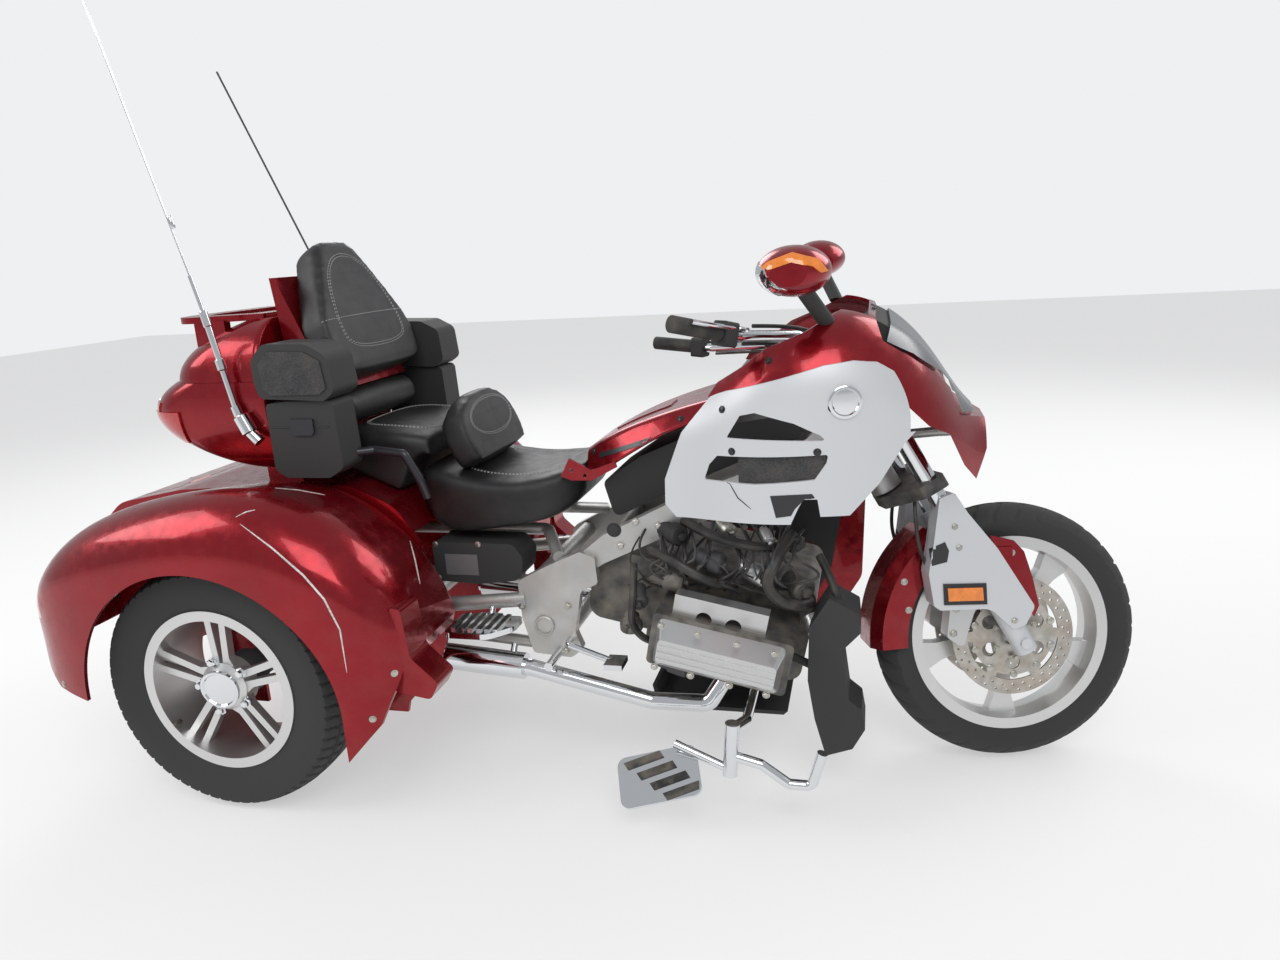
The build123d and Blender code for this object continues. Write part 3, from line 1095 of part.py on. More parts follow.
# Front fender: the rear half of its arch is whole, the front half is down to a torn flap each side
FENDER_RADIUS = 346
FENDER_SKIN = 5
FENDER_HALF_WIDTH = 84
FENDER_SKIRT_RADIUS = 262
with BuildPart() as front_fender:
    arch_section = [
        (-FENDER_SKIRT_RADIUS, -FENDER_HALF_WIDTH), (-FENDER_RADIUS + 22, -FENDER_HALF_WIDTH), (-FENDER_RADIUS, -FENDER_HALF_WIDTH + 34),
        (-FENDER_RADIUS, FENDER_HALF_WIDTH - 34), (-FENDER_RADIUS + 22, FENDER_HALF_WIDTH), (-FENDER_SKIRT_RADIUS, FENDER_HALF_WIDTH),
        (-FENDER_SKIRT_RADIUS, FENDER_HALF_WIDTH - FENDER_SKIN), (-FENDER_RADIUS + 20, FENDER_HALF_WIDTH - FENDER_SKIN),
        (-FENDER_RADIUS + FENDER_SKIN, FENDER_HALF_WIDTH - 36), (-FENDER_RADIUS + FENDER_SKIN, -FENDER_HALF_WIDTH + 36),
        (-FENDER_RADIUS + 20, -FENDER_HALF_WIDTH + FENDER_SKIN), (-FENDER_SKIRT_RADIUS, -FENDER_HALF_WIDTH + FENDER_SKIN),
    ]
    fender_plane = FRONT_WHEEL_PLANE.rotated((0, -4, 0))
    revolve(face(arch_section, fender_plane), axis=FRONT_WHEEL_AXIS, revolution_arc=56)
    for side in (-1, 1):
        flap = [(1797, 575), (1855, 560), (1880, 532), (1900, 470), (1917, 398), (1905, 370), (1880, 405)]
        slab(flap, steered(side_plane(side * (FENDER_HALF_WIDTH - FENDER_SKIN / 2))), FENDER_SKIN / 2, both=True)
        mount_plane = steered(side_plane(side * FENDER_HALF_WIDTH))
        mount_height = COVER_INNER_Y - FENDER_HALF_WIDTH - FIT
        slab([(1782, 522), (1850, 522), (1850, 546), (1782, 546)], mount_plane, -side * mount_height)
        slab([(1640, 490), (1664, 490), (1664, 514), (1640, 514)], mount_plane, -side * mount_height)
front_fender.part.label = "front_fender"
export_step(front_fender.part, "parts/front_fender.step")

# Calipers behind the legs, straddling the discs
with BuildPart() as calipers:
    for side in (-1, 1):
        caliper_plane = steered(side_plane(side * (DISC_Y + 2)))
        slab([(1690, 330), (1700, 420), (1745, 430), (1760, 400), (1742, 345), (1730, 300)], caliper_plane, COVER_INNER_Y - FIT - DISC_Y - 2, 12, both=True)
        room = Plane(
            origin=FRONT_WHEEL_PLANE.origin + FRONT_WHEEL_PLANE.y_dir * side * DISC_Y,
            x_dir=FRONT_WHEEL_PLANE.x_dir, z_dir=FRONT_WHEEL_PLANE.y_dir,
        )
        with BuildSketch(room) as slot:
            Circle(DISC_RADIUS + 5)
        extrude(slot.sketch, amount=DISC_THICK / 2 + 5, both=True, mode=Mode.SUBTRACT)
    add(fork_covers.part, mode=Mode.SUBTRACT)
calipers.part.label = "calipers"
export_step(calipers.part, "parts/calipers.step")

# Handlebar on the upper yoke
BAR_RADIUS = 12.7
GRIP_RADIUS = 18
GRIP_LENGTH = 118
RISER_AHEAD = 8
RISER_HEIGHT = 74
RISER_Y = 85
BAR_PATH = [(1392, 1046), (1320, 1062), (1182, 1062), (1040, 1086)]
BAR_Y = [130, 210, 286, 386]
YOKE_TOP = HEAD_HIGH + YOKE_CLEAR + YOKE_THICK


def bar_points(side):
    """Points of one half of the handlebar, turned with the front end."""
    riser_top = fork_plane(YOKE_TOP + RISER_HEIGHT, RISER_AHEAD, side * RISER_Y).origin
    return [riser_top] + [steered_point(x, side * y, z) for (x, z), y in zip(BAR_PATH, BAR_Y)]


with BuildPart() as handlebar:
    for side in (-1, 1):
        rod(bar_points(side), BAR_RADIUS, 26)
        riser_plane = fork_plane(YOKE_TOP, RISER_AHEAD, side * RISER_Y)
        with BuildSketch(riser_plane) as riser:
            Circle(17)
        extrude(riser.sketch, amount=RISER_HEIGHT)
handlebar.part.label = "handlebar"
export_step(handlebar.part, "parts/handlebar.step")

with BuildPart() as grips:
    for side in (-1, 1):
        tip = steered_point(BAR_PATH[-1][0], side * BAR_Y[-1], BAR_PATH[-1][1])
        inner = steered_point(BAR_PATH[-2][0], side * BAR_Y[-2], BAR_PATH[-2][1])
        along = (inner - tip).normalized()
        rod([tip - along * 8, tip + along * GRIP_LENGTH], GRIP_RADIUS)
        rod([tip, tip + along * (GRIP_LENGTH + 20)], BAR_RADIUS + FIT, mode=Mode.SUBTRACT)
grips.part.label = "grips"
export_step(grips.part, "parts/grips.step")

with BuildPart() as bar_controls:
    for side in (-1, 1):
        tip = steered_point(BAR_PATH[-1][0], side * BAR_Y[-1], BAR_PATH[-1][1])
        inner = steered_point(BAR_PATH[-2][0], side * BAR_Y[-2], BAR_PATH[-2][1])
        along = (inner - tip).normalized()
        control_plane = Plane(origin=tip + along * (GRIP_LENGTH + 2), z_dir=along)
        with BuildSketch(control_plane) as switch_box:
            RectangleRounded(46, 52, 8)
            Circle(BAR_RADIUS + FIT, mode=Mode.SUBTRACT)
        extrude(switch_box.sketch, amount=34)
bar_controls.part.label = "bar_controls"
export_step(bar_controls.part, "parts/bar_controls.step")
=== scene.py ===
"""Looks of the touring trike: finishes, upholstery, tread, fastenings and the photograph's view."""

import logging
import math
import random
from dataclasses import dataclass, field
from enum import Enum
from typing import Callable, Iterable, Sequence

import bmesh
import bpy
from mathutils import Matrix, Vector
from mathutils.bvhtree import BVHTree
from mathutils.geometry import delaunay_2d_cdt


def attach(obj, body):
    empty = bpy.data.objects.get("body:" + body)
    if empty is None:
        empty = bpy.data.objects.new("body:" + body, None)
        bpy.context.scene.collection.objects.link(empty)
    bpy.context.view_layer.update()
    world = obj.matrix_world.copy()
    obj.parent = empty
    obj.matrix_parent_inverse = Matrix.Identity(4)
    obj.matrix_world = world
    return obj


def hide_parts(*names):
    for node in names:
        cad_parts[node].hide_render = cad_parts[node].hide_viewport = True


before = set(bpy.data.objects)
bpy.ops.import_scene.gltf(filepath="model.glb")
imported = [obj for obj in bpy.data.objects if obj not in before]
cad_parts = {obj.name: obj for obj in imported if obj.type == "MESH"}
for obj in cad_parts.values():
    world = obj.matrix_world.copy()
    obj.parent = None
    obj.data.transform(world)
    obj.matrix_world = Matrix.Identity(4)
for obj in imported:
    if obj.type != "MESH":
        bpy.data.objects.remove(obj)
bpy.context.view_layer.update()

log = logging.getLogger("trike")
Point = tuple[float, float, float]
Pair = tuple[float, float]
Find = tuple[Vector, Vector]
Colour = tuple[float, float, float]
Nodes = bpy.types.Nodes
Links = bpy.types.NodeLinks
Socket = bpy.types.NodeSocket

REAR_AXLE_X = -0.8213
WHEELBASE = 1.860
TRAIL = 0.100
RAKE = math.radians(29.25)
STEER_AT_REST = math.radians(17.7)
REAR_AXLE_Z = 0.320
FRONT_AXLE_Z = 0.3219
REAR_WHEEL_Y = 0.470


def place(x: float, y: float, z: float) -> Vector:
    """Return the point for x measured forward from the rear axle."""
    return Vector((REAR_AXLE_X + x, y, z))


STEER_BASE = place(WHEELBASE + TRAIL, 0.0, 0.0)
STEER_DIRECTION = Vector((-math.sin(RAKE), 0.0, math.cos(RAKE)))
STEER_TURN = (
    Matrix.Translation(STEER_BASE)
    @ Matrix.Rotation(STEER_AT_REST, 4, STEER_DIRECTION)
    @ Matrix.Translation(-STEER_BASE)
)


def steered(x: float, y: float, z: float) -> Vector:
    """Return the place at rest of a point given with the front end straight ahead."""
    return STEER_TURN @ place(x, y, z)


class Body(Enum):
    """The moving bodies that pieces ride on."""

    ROOT = "root"
    STEERING = "steering"
    FRONT_WHEEL = "front_wheel"
    REAR_RIGHT = "rear_wheel_right"
    REAR_LEFT = "rear_wheel_left"
    BOX_LID = "top_box_lid"
    HATCH = "trunk_hatch"


class Side(Enum):
    """The vehicle's two sides, as the sign of Y."""

    RIGHT = -1
    LEFT = 1


@dataclass(frozen=True)
class Graph:
    """A material's nodes in hand, with the place on the object as an output."""

    nodes: Nodes
    links: Links
    where: Socket

    def noise(self, scale: float, detail: float = 4.0) -> Socket:
        """Return noise at a scale.

        Args:
            scale: the noise's scale.
            detail: how many finer layers it has.

        Returns:
            The noise as an output.
        """
        noise = self.nodes.new("ShaderNodeTexNoise")
        noise.inputs["Scale"].default_value = scale
        noise.inputs["Detail"].default_value = detail
        self.links.new(self.where, noise.inputs["Vector"])
        return noise.outputs["Fac"]

    def ramp(self, value: Socket, low: float, high: float, to_low: float, to_high: float) -> Socket:
        """Return a value carried linearly from one range to another.

        Args:
            value: the value as an output.
            low: the start of its range.
            high: the end of its range.
            to_low: what the start becomes.
            to_high: what the end becomes.

        Returns:
            The carried value as an output.
        """
        ramp = self.nodes.new("ShaderNodeMapRange")
        keys = ("From Min", "From Max", "To Min", "To Max")
        for key, number in zip(keys, (low, high, to_low, to_high)):
            ramp.inputs[key].default_value = number
        self.links.new(value, ramp.inputs["Value"])
        return ramp.outputs["Result"]

    def blend(self, factor: Socket, first: Colour | Socket, second: Colour | Socket) -> Socket:
        """Return two colours mixed.

        Args:
            factor: the share of the second colour, as an output.
            first: the first colour.
            second: the second colour.

        Returns:
            The mixed colour as an output.
        """
        mix = self.nodes.new("ShaderNodeMix")
        mix.data_type = "RGBA"
        for number, item in ((6, first), (7, second)):
            if isinstance(item, tuple):
                mix.inputs[number].default_value = (*item, 1.0)
            else:
                self.links.new(item, mix.inputs[number])
        self.links.new(factor, mix.inputs[0])
        return mix.outputs[2]


@dataclass(frozen=True)
class Grime:
    """The settings that every finish shares."""

    coat_roughness: float = 0.04
    mottle_edges: Pair = (0.3, 0.7)
    flake_scale: float = 1400.0
    flake_size: float = 0.25
    flake_gain: float = 2.2
    flake_lift: float = 0.05
    dust_scale: float = 22.0
    dust_detail: float = 9.0
    dust_edges: Pair = (0.38, 0.72)
    dust_least: float = 0.25
    mark_scale: float = 34.0
    mark_detail: float = 8.0
    mark_edges: Pair = (0.35, 0.75)
    mark_spread: float = 0.10
    scratch_spread: float = 0.25
    smoother_share: float = 0.3
    least_roughness: float = 0.02
    relief_depth: float = 0.0012
    relief_detail: float = 6.0


GRIME = Grime()


@dataclass(frozen=True)
class Finish:
    """A procedural surface: colour, gloss, grime and fine relief.

    Fields with a zero leave their effect out.
    """

    name: str
    colour: Colour
    roughness: float = 0.4
    metallic: float = 0.0
    coat: float = 0.0
    mottle: float = 0.12
    mottle_scale: float = 9.0
    grain: float = 0.0
    grain_scale: float = 900.0
    dust: float = 0.0
    dust_colour: Colour = (0.42, 0.36, 0.28)
    dust_height: float = 0.6
    scratches: float = 0.0
    clear: float = 0.0
    flakes: float = 0.0

    def material(self) -> bpy.types.Material:
        """Return the material of this finish, made once.

        Returns:
            The material.
        """
        found = bpy.data.materials.get(self.name)
        if found:
            return found
        made = bpy.data.materials.new(self.name)
        made.use_nodes = True
        nodes, links = made.node_tree.nodes, made.node_tree.links
        shader = nodes["Principled BSDF"]
        shader.inputs["Metallic"].default_value = self.metallic
        shader.inputs["Coat Weight"].default_value = self.coat
        shader.inputs["Coat Roughness"].default_value = GRIME.coat_roughness
        shader.inputs["Transmission Weight"].default_value = self.clear
        graph = Graph(nodes, links, nodes.new("ShaderNodeTexCoord").outputs["Object"])
        colour = self._mottled(graph)
        if self.flakes:
            colour = self._flaked(graph, colour)
        if self.dust:
            colour = self._dusty(graph, colour)
        links.new(colour, shader.inputs["Base Color"])
        links.new(self._gloss(graph), shader.inputs["Roughness"])
        if self.grain:
            links.new(self._relief(graph), shader.inputs["Normal"])
        return made

    def _mottled(self, graph: Graph) -> Socket:
        """Return the base colour, varied over broad patches.

        Args:
            graph: the material's nodes in hand.

        Returns:
            The colour as an output.
        """
        fade = graph.ramp(graph.noise(self.mottle_scale), *GRIME.mottle_edges, 0.0, 1.0)
        dark = tuple(c * (1.0 - self.mottle) for c in self.colour)
        light = tuple(min(1.0, c * (1.0 + self.mottle)) for c in self.colour)
        return graph.blend(fade, dark, light)

    def _flaked(self, graph: Graph, colour: Socket) -> Socket:
        """Return the colour with the fine bright flake of candy paint.

        Args:
            graph: the material's nodes in hand.
            colour: the colour under the flake.

        Returns:
            The colour as an output.
        """
        cells = graph.nodes.new("ShaderNodeTexVoronoi")
        cells.inputs["Scale"].default_value = GRIME.flake_scale
        graph.links.new(graph.where, cells.inputs["Vector"])
        spark = graph.ramp(cells.outputs["Distance"], 0.0, GRIME.flake_size, self.flakes, 0.0)
        bright = tuple(min(1.0, c * GRIME.flake_gain + GRIME.flake_lift) for c in self.colour)
        return graph.blend(spark, colour, bright)

    def _dusty(self, graph: Graph, colour: Socket) -> Socket:
        """Return the colour under dust that thins with height.

        Args:
            graph: the material's nodes in hand.
            colour: the colour under the dust.

        Returns:
            The colour as an output.
        """
        split = graph.nodes.new("ShaderNodeSeparateXYZ")
        graph.links.new(graph.where, split.inputs[0])
        low = graph.ramp(split.outputs["Z"], 0.0, self.dust_height, 1.0, GRIME.dust_least)
        noise = graph.noise(GRIME.dust_scale, GRIME.dust_detail)
        spots = graph.ramp(noise, *GRIME.dust_edges, 0.0, self.dust)
        both = graph.nodes.new("ShaderNodeMath")
        both.operation = "MULTIPLY"
        graph.links.new(low, both.inputs[0])
        graph.links.new(spots, both.inputs[1])
        return graph.blend(both.outputs[0], colour, self.dust_colour)

    def _gloss(self, graph: Graph) -> Socket:
        """Return the roughness, broken up by handling marks and scratches.

        Args:
            graph: the material's nodes in hand.

        Returns:
            The roughness as an output.
        """
        marks = graph.noise(GRIME.mark_scale, GRIME.mark_detail)
        spread = GRIME.mark_spread + self.scratches * GRIME.scratch_spread
        low = max(GRIME.least_roughness, self.roughness - spread * GRIME.smoother_share)
        high = min(1.0, self.roughness + spread)
        return graph.ramp(marks, *GRIME.mark_edges, low, high)

    def _relief(self, graph: Graph) -> Socket:
        """Return the normal of the fine grain.

        Args:
            graph: the material's nodes in hand.

        Returns:
            The normal as an output.
        """
        bump = graph.nodes.new("ShaderNodeBump")
        bump.inputs["Strength"].default_value = self.grain
        bump.inputs["Distance"].default_value = GRIME.relief_depth
        graph.links.new(graph.noise(self.grain_scale, GRIME.relief_detail), bump.inputs["Height"])
        return bump.outputs["Normal"]


CANDY_RED = Finish(
    "candy_red", (0.27, 0.003, 0.010), 0.20, 0.7, 0.35, 0.10, 5.0, dust=0.07, scratches=0.3, flakes=0.18
)
LAMP_RED = Finish("lamp_red", (0.55, 0.01, 0.012), 0.10, 0.0, 1.0, 0.2, 30.0, clear=0.15)
SILVER = Finish("silver_paint", (0.13, 0.134, 0.145), 0.40, 0.85, 0.25, 0.06, 7.0, dust=0.25, flakes=0.2)
BLACK_PLASTIC = Finish("black_plastic", (0.012, 0.012, 0.013), 0.50, mottle=0.3, grain=0.35, dust=0.2)
GLOSS_BLACK = Finish("gloss_black", (0.012, 0.012, 0.014), 0.14, coat=0.5, mottle=0.2, dust=0.15)
SMOKE = Finish(
    "smoke_lens", (0.055, 0.06, 0.068), 0.08, coat=1.0, mottle=0.35, mottle_scale=14.0, dust=0.2,
    dust_height=2.0
)
LEATHER = Finish(
    "black_leather", (0.009, 0.009, 0.010), 0.40, mottle=0.35, grain=0.6, grain_scale=620.0, dust=0.07
)
THREAD = Finish("pale_thread", (0.40, 0.40, 0.39), 0.7, grain=0.4)
CAST_ALLOY = Finish(
    "cast_alloy", (0.42, 0.42, 0.41), 0.42, 0.8, mottle=0.18, mottle_scale=26.0, grain=0.4, dust=0.55,
    dust_height=0.9
)
ENGINE_GREY = Finish(
    "engine_grey", (0.10, 0.10, 0.098), 0.5, 0.5, mottle=0.5, mottle_scale=18.0, grain=0.4, dust=0.75,
    dust_height=0.9
)
WHEEL_ALLOY = Finish(
    "wheel_alloy", (0.60, 0.60, 0.59), 0.30, 0.75, 0.4, 0.08, dust=0.6, dust_colour=(0.40, 0.31, 0.20),
    dust_height=0.9
)
CHROME = Finish("chrome", (0.70, 0.71, 0.73), 0.08, 1.0, mottle=0.05, dust=0.22, dust_height=1.2)
STEEL = Finish(
    "bright_steel", (0.50, 0.48, 0.44), 0.32, 0.95, mottle=0.2, mottle_scale=40.0, grain=0.2, dust=0.5,
    dust_colour=(0.34, 0.19, 0.09)
)
DARK_IRON = Finish("dark_iron", (0.045, 0.045, 0.048), 0.45, 0.3, mottle=0.3, grain=0.3, dust=0.6)
SPAR_ALLOY = Finish(
    "spar_alloy", (0.50, 0.50, 0.49), 0.38, 0.7, mottle=0.12, grain=0.25, dust=0.45, dust_height=1.0
)
RUBBER = Finish("black_rubber", (0.020, 0.020, 0.020), 0.68, mottle=0.3, grain=0.5, dust=0.5)
TYRE = Finish("tyre_rubber", (0.013, 0.013, 0.014), 0.62, mottle=0.25, grain=0.45, dust=0.45, dust_height=0.7)
AMBER = Finish("amber_lens", (0.80, 0.22, 0.02), 0.12, coat=1.0, mottle=0.15, mottle_scale=60.0)
RED_SHELL = Finish("red_trim", (0.32, 0.012, 0.02), 0.28, 0.2, 0.8, dust=0.2)
GREY_TRIM = Finish("grey_trim", (0.20, 0.20, 0.21), 0.4, 0.4, dust=0.25)
BARE_SCRAPE = Finish("bare_scrape", (0.62, 0.58, 0.56), 0.7, mottle=0.35, mottle_scale=120.0)
HOSE = Finish("black_hose", (0.018, 0.018, 0.019), 0.45, dust=0.4)
GRILLE_CLOTH = Finish(
    "woven_grille", (0.030, 0.030, 0.032), 0.6, mottle=0.6, mottle_scale=240.0, grain=1.0,
    grain_scale=260.0, dust=0.3
)
MIRROR_GLASS = Finish("mirror_glass", (0.80, 0.82, 0.84), 0.02, 1.0, mottle=0.02, dust=0.1)
DIAL = Finish("dial_face", (0.10, 0.10, 0.11), 0.25, coat=0.6, mottle=0.2)
ZINC = Finish("zinc_bolt", (0.48, 0.47, 0.43), 0.35, 0.9, mottle=0.2, mottle_scale=90.0, dust=0.35)

CAD_FINISHES: dict[Finish, tuple[str, ...]] = {
    CANDY_RED: (
        "backrest_shell", "front_fender", "fuel_shelter", "lower_cowl_left", "mirror_housings",
        "rear_fender_left", "rear_fender_right", "top_box_lid", "top_box_tub", "trike_body", "trunk_hatch",
        "upper_fairing",
    ),
    SILVER: ("side_cover_left", "side_cover_right", "fork_covers"),
    BLACK_PLASTIC: (
        "airbox", "belly_pan", "dash", "front_duct", "mirror_arms", "side_case",
        "side_pockets", "speaker_pods", "bar_controls",
    ),
    GLOSS_BLACK: ("antenna_left", "grab_rails"),
    GRILLE_CLOTH: ("side_grilles",),
    CHROME: (
        "antenna_right", "exhausts", "foot_controls", "fork_tubes", "handlebar",
        "highway_board_left", "highway_board_right", "passenger_boards",
    ),
    CAST_ALLOY: ("calipers", "port_spacer", "valve_covers"),
    ENGINE_GREY: ("engine_block", "fork_yokes"),
    WHEEL_ALLOY: ("front_rim", "rear_rim_left", "rear_rim_right"),
    STEEL: ("brake_discs",),
    SPAR_ALLOY: ("frame",),
    DARK_IRON: ("rear_axle",),
    RUBBER: ("grips",),
    LAMP_RED: ("tail_lamps",),
    SMOKE: ("headlamp_lens",),
    LEATHER: ("lumbar_roll", "passenger_backrest", "passenger_seat", "rider_backrest", "rider_seat"),
    TYRE: ("front_tyre", "rear_tyre_left", "rear_tyre_right"),
}
SHARP_ANGLE = math.radians(32)


class Workshop:
    """Small shared ways of making a piece and giving it its body and finish."""

    @staticmethod
    def finish_piece(
        name: str, mesh: bpy.types.Mesh, finish: Finish, body: Body, slot: str, smooth: bool = True
    ) -> bpy.types.Object:
        """Turn a mesh into a finished piece.

        Args:
            name: the piece's name.
            mesh: its mesh, in metres in the model's frame.
            finish: the surface it gets.
            body: the body it rides on.
            slot: the record's material slot; not used.
            smooth: whether its faces are shaded smooth.

        Returns:
            The new object.
        """
        piece = bpy.data.objects.new(name, mesh)
        bpy.context.collection.objects.link(piece)
        mesh.materials.clear()
        mesh.materials.append(finish.material())
        if smooth:
            mesh.shade_smooth()
            mesh.set_sharp_from_angle(angle=SHARP_ANGLE)
        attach(piece, body.value)
        log.info("piece %s on %s", name, body.value)
        return piece

    @staticmethod
    def filled(
        name: str, build: Callable[[bmesh.types.BMesh], None], finish: Finish, body: Body, slot: str,
        smooth: bool = True,
    ) -> bpy.types.Object:
        """Return a finished piece whose mesh a function fills in."""
        return Workshop.finish_piece(name, Workshop.mesh_of(build, name), finish, body, slot, smooth)

    @staticmethod
    def mesh_of(build: Callable[[bmesh.types.BMesh], None], name: str) -> bpy.types.Mesh:
        """Return a mesh that a function fills in.

        Args:
            build: the function that fills a mesh.
            name: the mesh's name.

        Returns:
            The new mesh.
        """
        work = bmesh.new()
        build(work)
        bmesh.ops.recalc_face_normals(work, faces=work.faces)
        mesh = bpy.data.meshes.new(name)
        work.to_mesh(mesh)
        work.free()
        return mesh

    @staticmethod
    def stand(centre: Vector, axis: Vector, ahead: Vector | None = None) -> Matrix:
        """Return the frame at a point whose Z runs along an axis.

        Args:
            centre: the origin.
            axis: the direction Z takes.
            ahead: the direction X comes nearest to.

        Returns:
            The frame.
        """
        z = axis.normalized()
        guide = ahead or (Vector((0, 0, 1)) if abs(z.z) < 0.9 else Vector((1, 0, 0)))
        x = (guide - z * guide.dot(z)).normalized()
        y = z.cross(x)
        turn = Matrix((x, y, z)).transposed().to_4x4()
        return Matrix.Translation(centre) @ turn

    @staticmethod
    def lathe(work: bmesh.types.BMesh, profile: Sequence[Pair], at: Matrix, steps: int = 24) -> None:
        """Add a closed turned form.

        Args:
            work: the mesh in hand.
            profile: radius and height pairs from one end of the axis to the other.
            at: the frame whose Z is the axis.
            steps: the number of facets round it.
        """
        rings = []
        for radius, height in profile:
            ring = []
            for step in range(steps):
                turn = 2 * math.pi * step / steps
                ring.append(
                    work.verts.new(at @ Vector((radius * math.cos(turn), radius * math.sin(turn), height)))
                )
            rings.append(ring)
        for low, high in zip(rings, rings[1:]):
            for step in range(steps):
                follow = (step + 1) % steps
                work.faces.new((low[step], low[follow], high[follow], high[step]))
        work.faces.new(rings[0][::-1])
        work.faces.new(rings[-1])

    @staticmethod
    def round_places(at: Matrix, count: int, radius: float, out: float, shift: float = 0.0) -> list[Vector]:
        """Return places spread evenly round a frame's Z."""
        turns = [2 * math.pi * (number + shift) / count for number in range(count)]
        return [at @ Vector((radius * math.cos(turn), radius * math.sin(turn), out)) for turn in turns]

    @staticmethod
    def bolt(
        work: bmesh.types.BMesh, at: Matrix, radius: float = 0.006, height: float = 0.005, steps: int = 6
    ) -> None:
        """Add a flanged bolt head with a chamfered crown.

        Args:
            work: the mesh in hand.
            at: the frame whose Z points out of the surface.
            radius: the head's radius.
            height: the head's height.
            steps: its number of sides.
        """
        Workshop.lathe(work, [(radius * 1.35, 0.0), (radius * 1.35, height * 0.25)], at, 18)
        Workshop.lathe(
            work, [(radius, height * 0.2), (radius, height * 0.85), (radius * 0.82, height)], at, steps
        )

    @staticmethod
    def tube(
        name: str, points: Sequence[Vector], radius: float, finish: Finish, body: Body, slot: str
    ) -> bpy.types.Object:
        """Return a round tube along a smooth line through points, as a mesh piece.

        Args:
            name: the piece's name.
            points: the points that steer its middle line.
            radius: its radius in metres.
            finish: its surface.
            body: the body it rides on.
            slot: the record's material slot.

        Returns:
            The new object.
        """
        curve = bpy.data.curves.new(name, "CURVE")
        curve.dimensions = "3D"
        curve.bevel_depth = radius
        curve.bevel_resolution = 3
        curve.use_fill_caps = True
        line = curve.splines.new("NURBS")
        line.points.add(len(points) - 1)
        for item, point in zip(line.points, points):
            item.co = (*point, 1.0)
        line.order_u = 3
        line.use_endpoint_u = True
        line.resolution_u = 6
        holder = bpy.data.objects.new(name + "_line", curve)
        bpy.context.collection.objects.link(holder)
        bpy.context.view_layer.update()
        mesh = bpy.data.meshes.new_from_object(holder.evaluated_get(bpy.context.evaluated_depsgraph_get()))
        bpy.data.objects.remove(holder)
        bpy.data.curves.remove(curve)
        return Workshop.finish_piece(name, mesh, finish, body, slot)

    @staticmethod
    def rounded(width: float, height: float, radius: float, steps: int = 5) -> list[Pair]:
        """Return a rounded rectangle's outline about its middle.

        Args:
            width: its size along the first number.
            height: its size along the second number.
            radius: the corners' radius.
            steps: the stretches in each corner.

        Returns:
            The points in order.
        """
        outline = []
        for corner, (sx, sy) in enumerate(((1, 1), (-1, 1), (-1, -1), (1, -1))):
            for step in range(steps + 1):
                turn = math.pi / 2 * (corner + step / steps)
                outline.append((
                    sx * (width / 2 - radius) + radius * math.cos(turn),
                    sy * (height / 2 - radius) + radius * math.sin(turn),
                ))
        return outline


@dataclass
class PhotoView:
    """The photograph's camera, and the rays that place marks seen in it."""

    width: int = 1280
    height: int = 960
    focal: float = 914.0
    position: Vector = field(default_factory=lambda: place(1.542, -2.261, 1.308))
    yaw: float = math.radians(14.8)
    pitch: float = math.radians(14.4)
    roll: float = math.radians(3.5)
    sensor: float = 36.0

    def axes(self) -> tuple[Vector, Vector, Vector]:
        """Return the right, down and forward directions.

        Returns:
            The three directions.
        """
        forward = Vector((
            -math.sin(self.yaw) * math.cos(self.pitch),
            math.cos(self.yaw) * math.cos(self.pitch),
            -math.sin(self.pitch),
        ))
        right = Vector((math.cos(self.yaw), math.sin(self.yaw), 0.0))
        down = forward.cross(right)
        c, s = math.cos(self.roll), math.sin(self.roll)
        return right * c + down * s, down * c - right * s, forward

    def create(self) -> bpy.types.Object:
        """Create the scene's camera.

        Returns:
            The camera.
        """
        right, down, forward = self.axes()
        data = bpy.data.cameras.new("photo_view")
        data.sensor_width = self.sensor
        data.sensor_fit = "HORIZONTAL"
        data.lens = self.focal * self.sensor / self.width
        data.clip_end = 60.0
        camera = bpy.data.objects.new("photo_view", data)
        turn = Matrix((right, -down, -forward)).transposed().to_4x4()
        camera.matrix_world = Matrix.Translation(self.position) @ turn
        bpy.context.collection.objects.link(camera)
        bpy.context.scene.camera = camera
        return camera

    def ray(self, u: float, v: float) -> Vector:
        """Return the direction through a pixel of the photograph.

        Args:
            u: the pixel, counted from the left.
            v: the pixel, counted from the top.

        Returns:
            The direction, of length one.
        """
        right, down, forward = self.axes()
        across = (u - self.width / 2) / self.focal
        below = (v - self.height / 2) / self.focal
        return (forward + right * across + down * below).normalized()

    def touch(self, u: float, v: float, tree: BVHTree) -> Find | None:
        """Return where a pixel's ray first meets a surface, with its normal.

        Args:
            u: the pixel, counted from the left.
            v: the pixel, counted from the top.
            tree: the surface.

        Returns:
            The point and its normal, or None where it meets nothing.
        """
        hit, normal, _, _ = tree.ray_cast(self.position, self.ray(u, v))
        if hit is None:
            return None
        return hit, normal


def surface_of(*names: str) -> BVHTree:
    """Return the joined surface of some CAD nodes, for laying trim on.

    Args:
        names: the nodes' names.

    Returns:
        The surface as a search tree.
    """
    work = bmesh.new()
    for name in names:
        work.from_mesh(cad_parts[name].data)
    bmesh.ops.triangulate(work, faces=work.faces)
    tree = BVHTree.FromBMesh(work)
    work.free()
    return tree


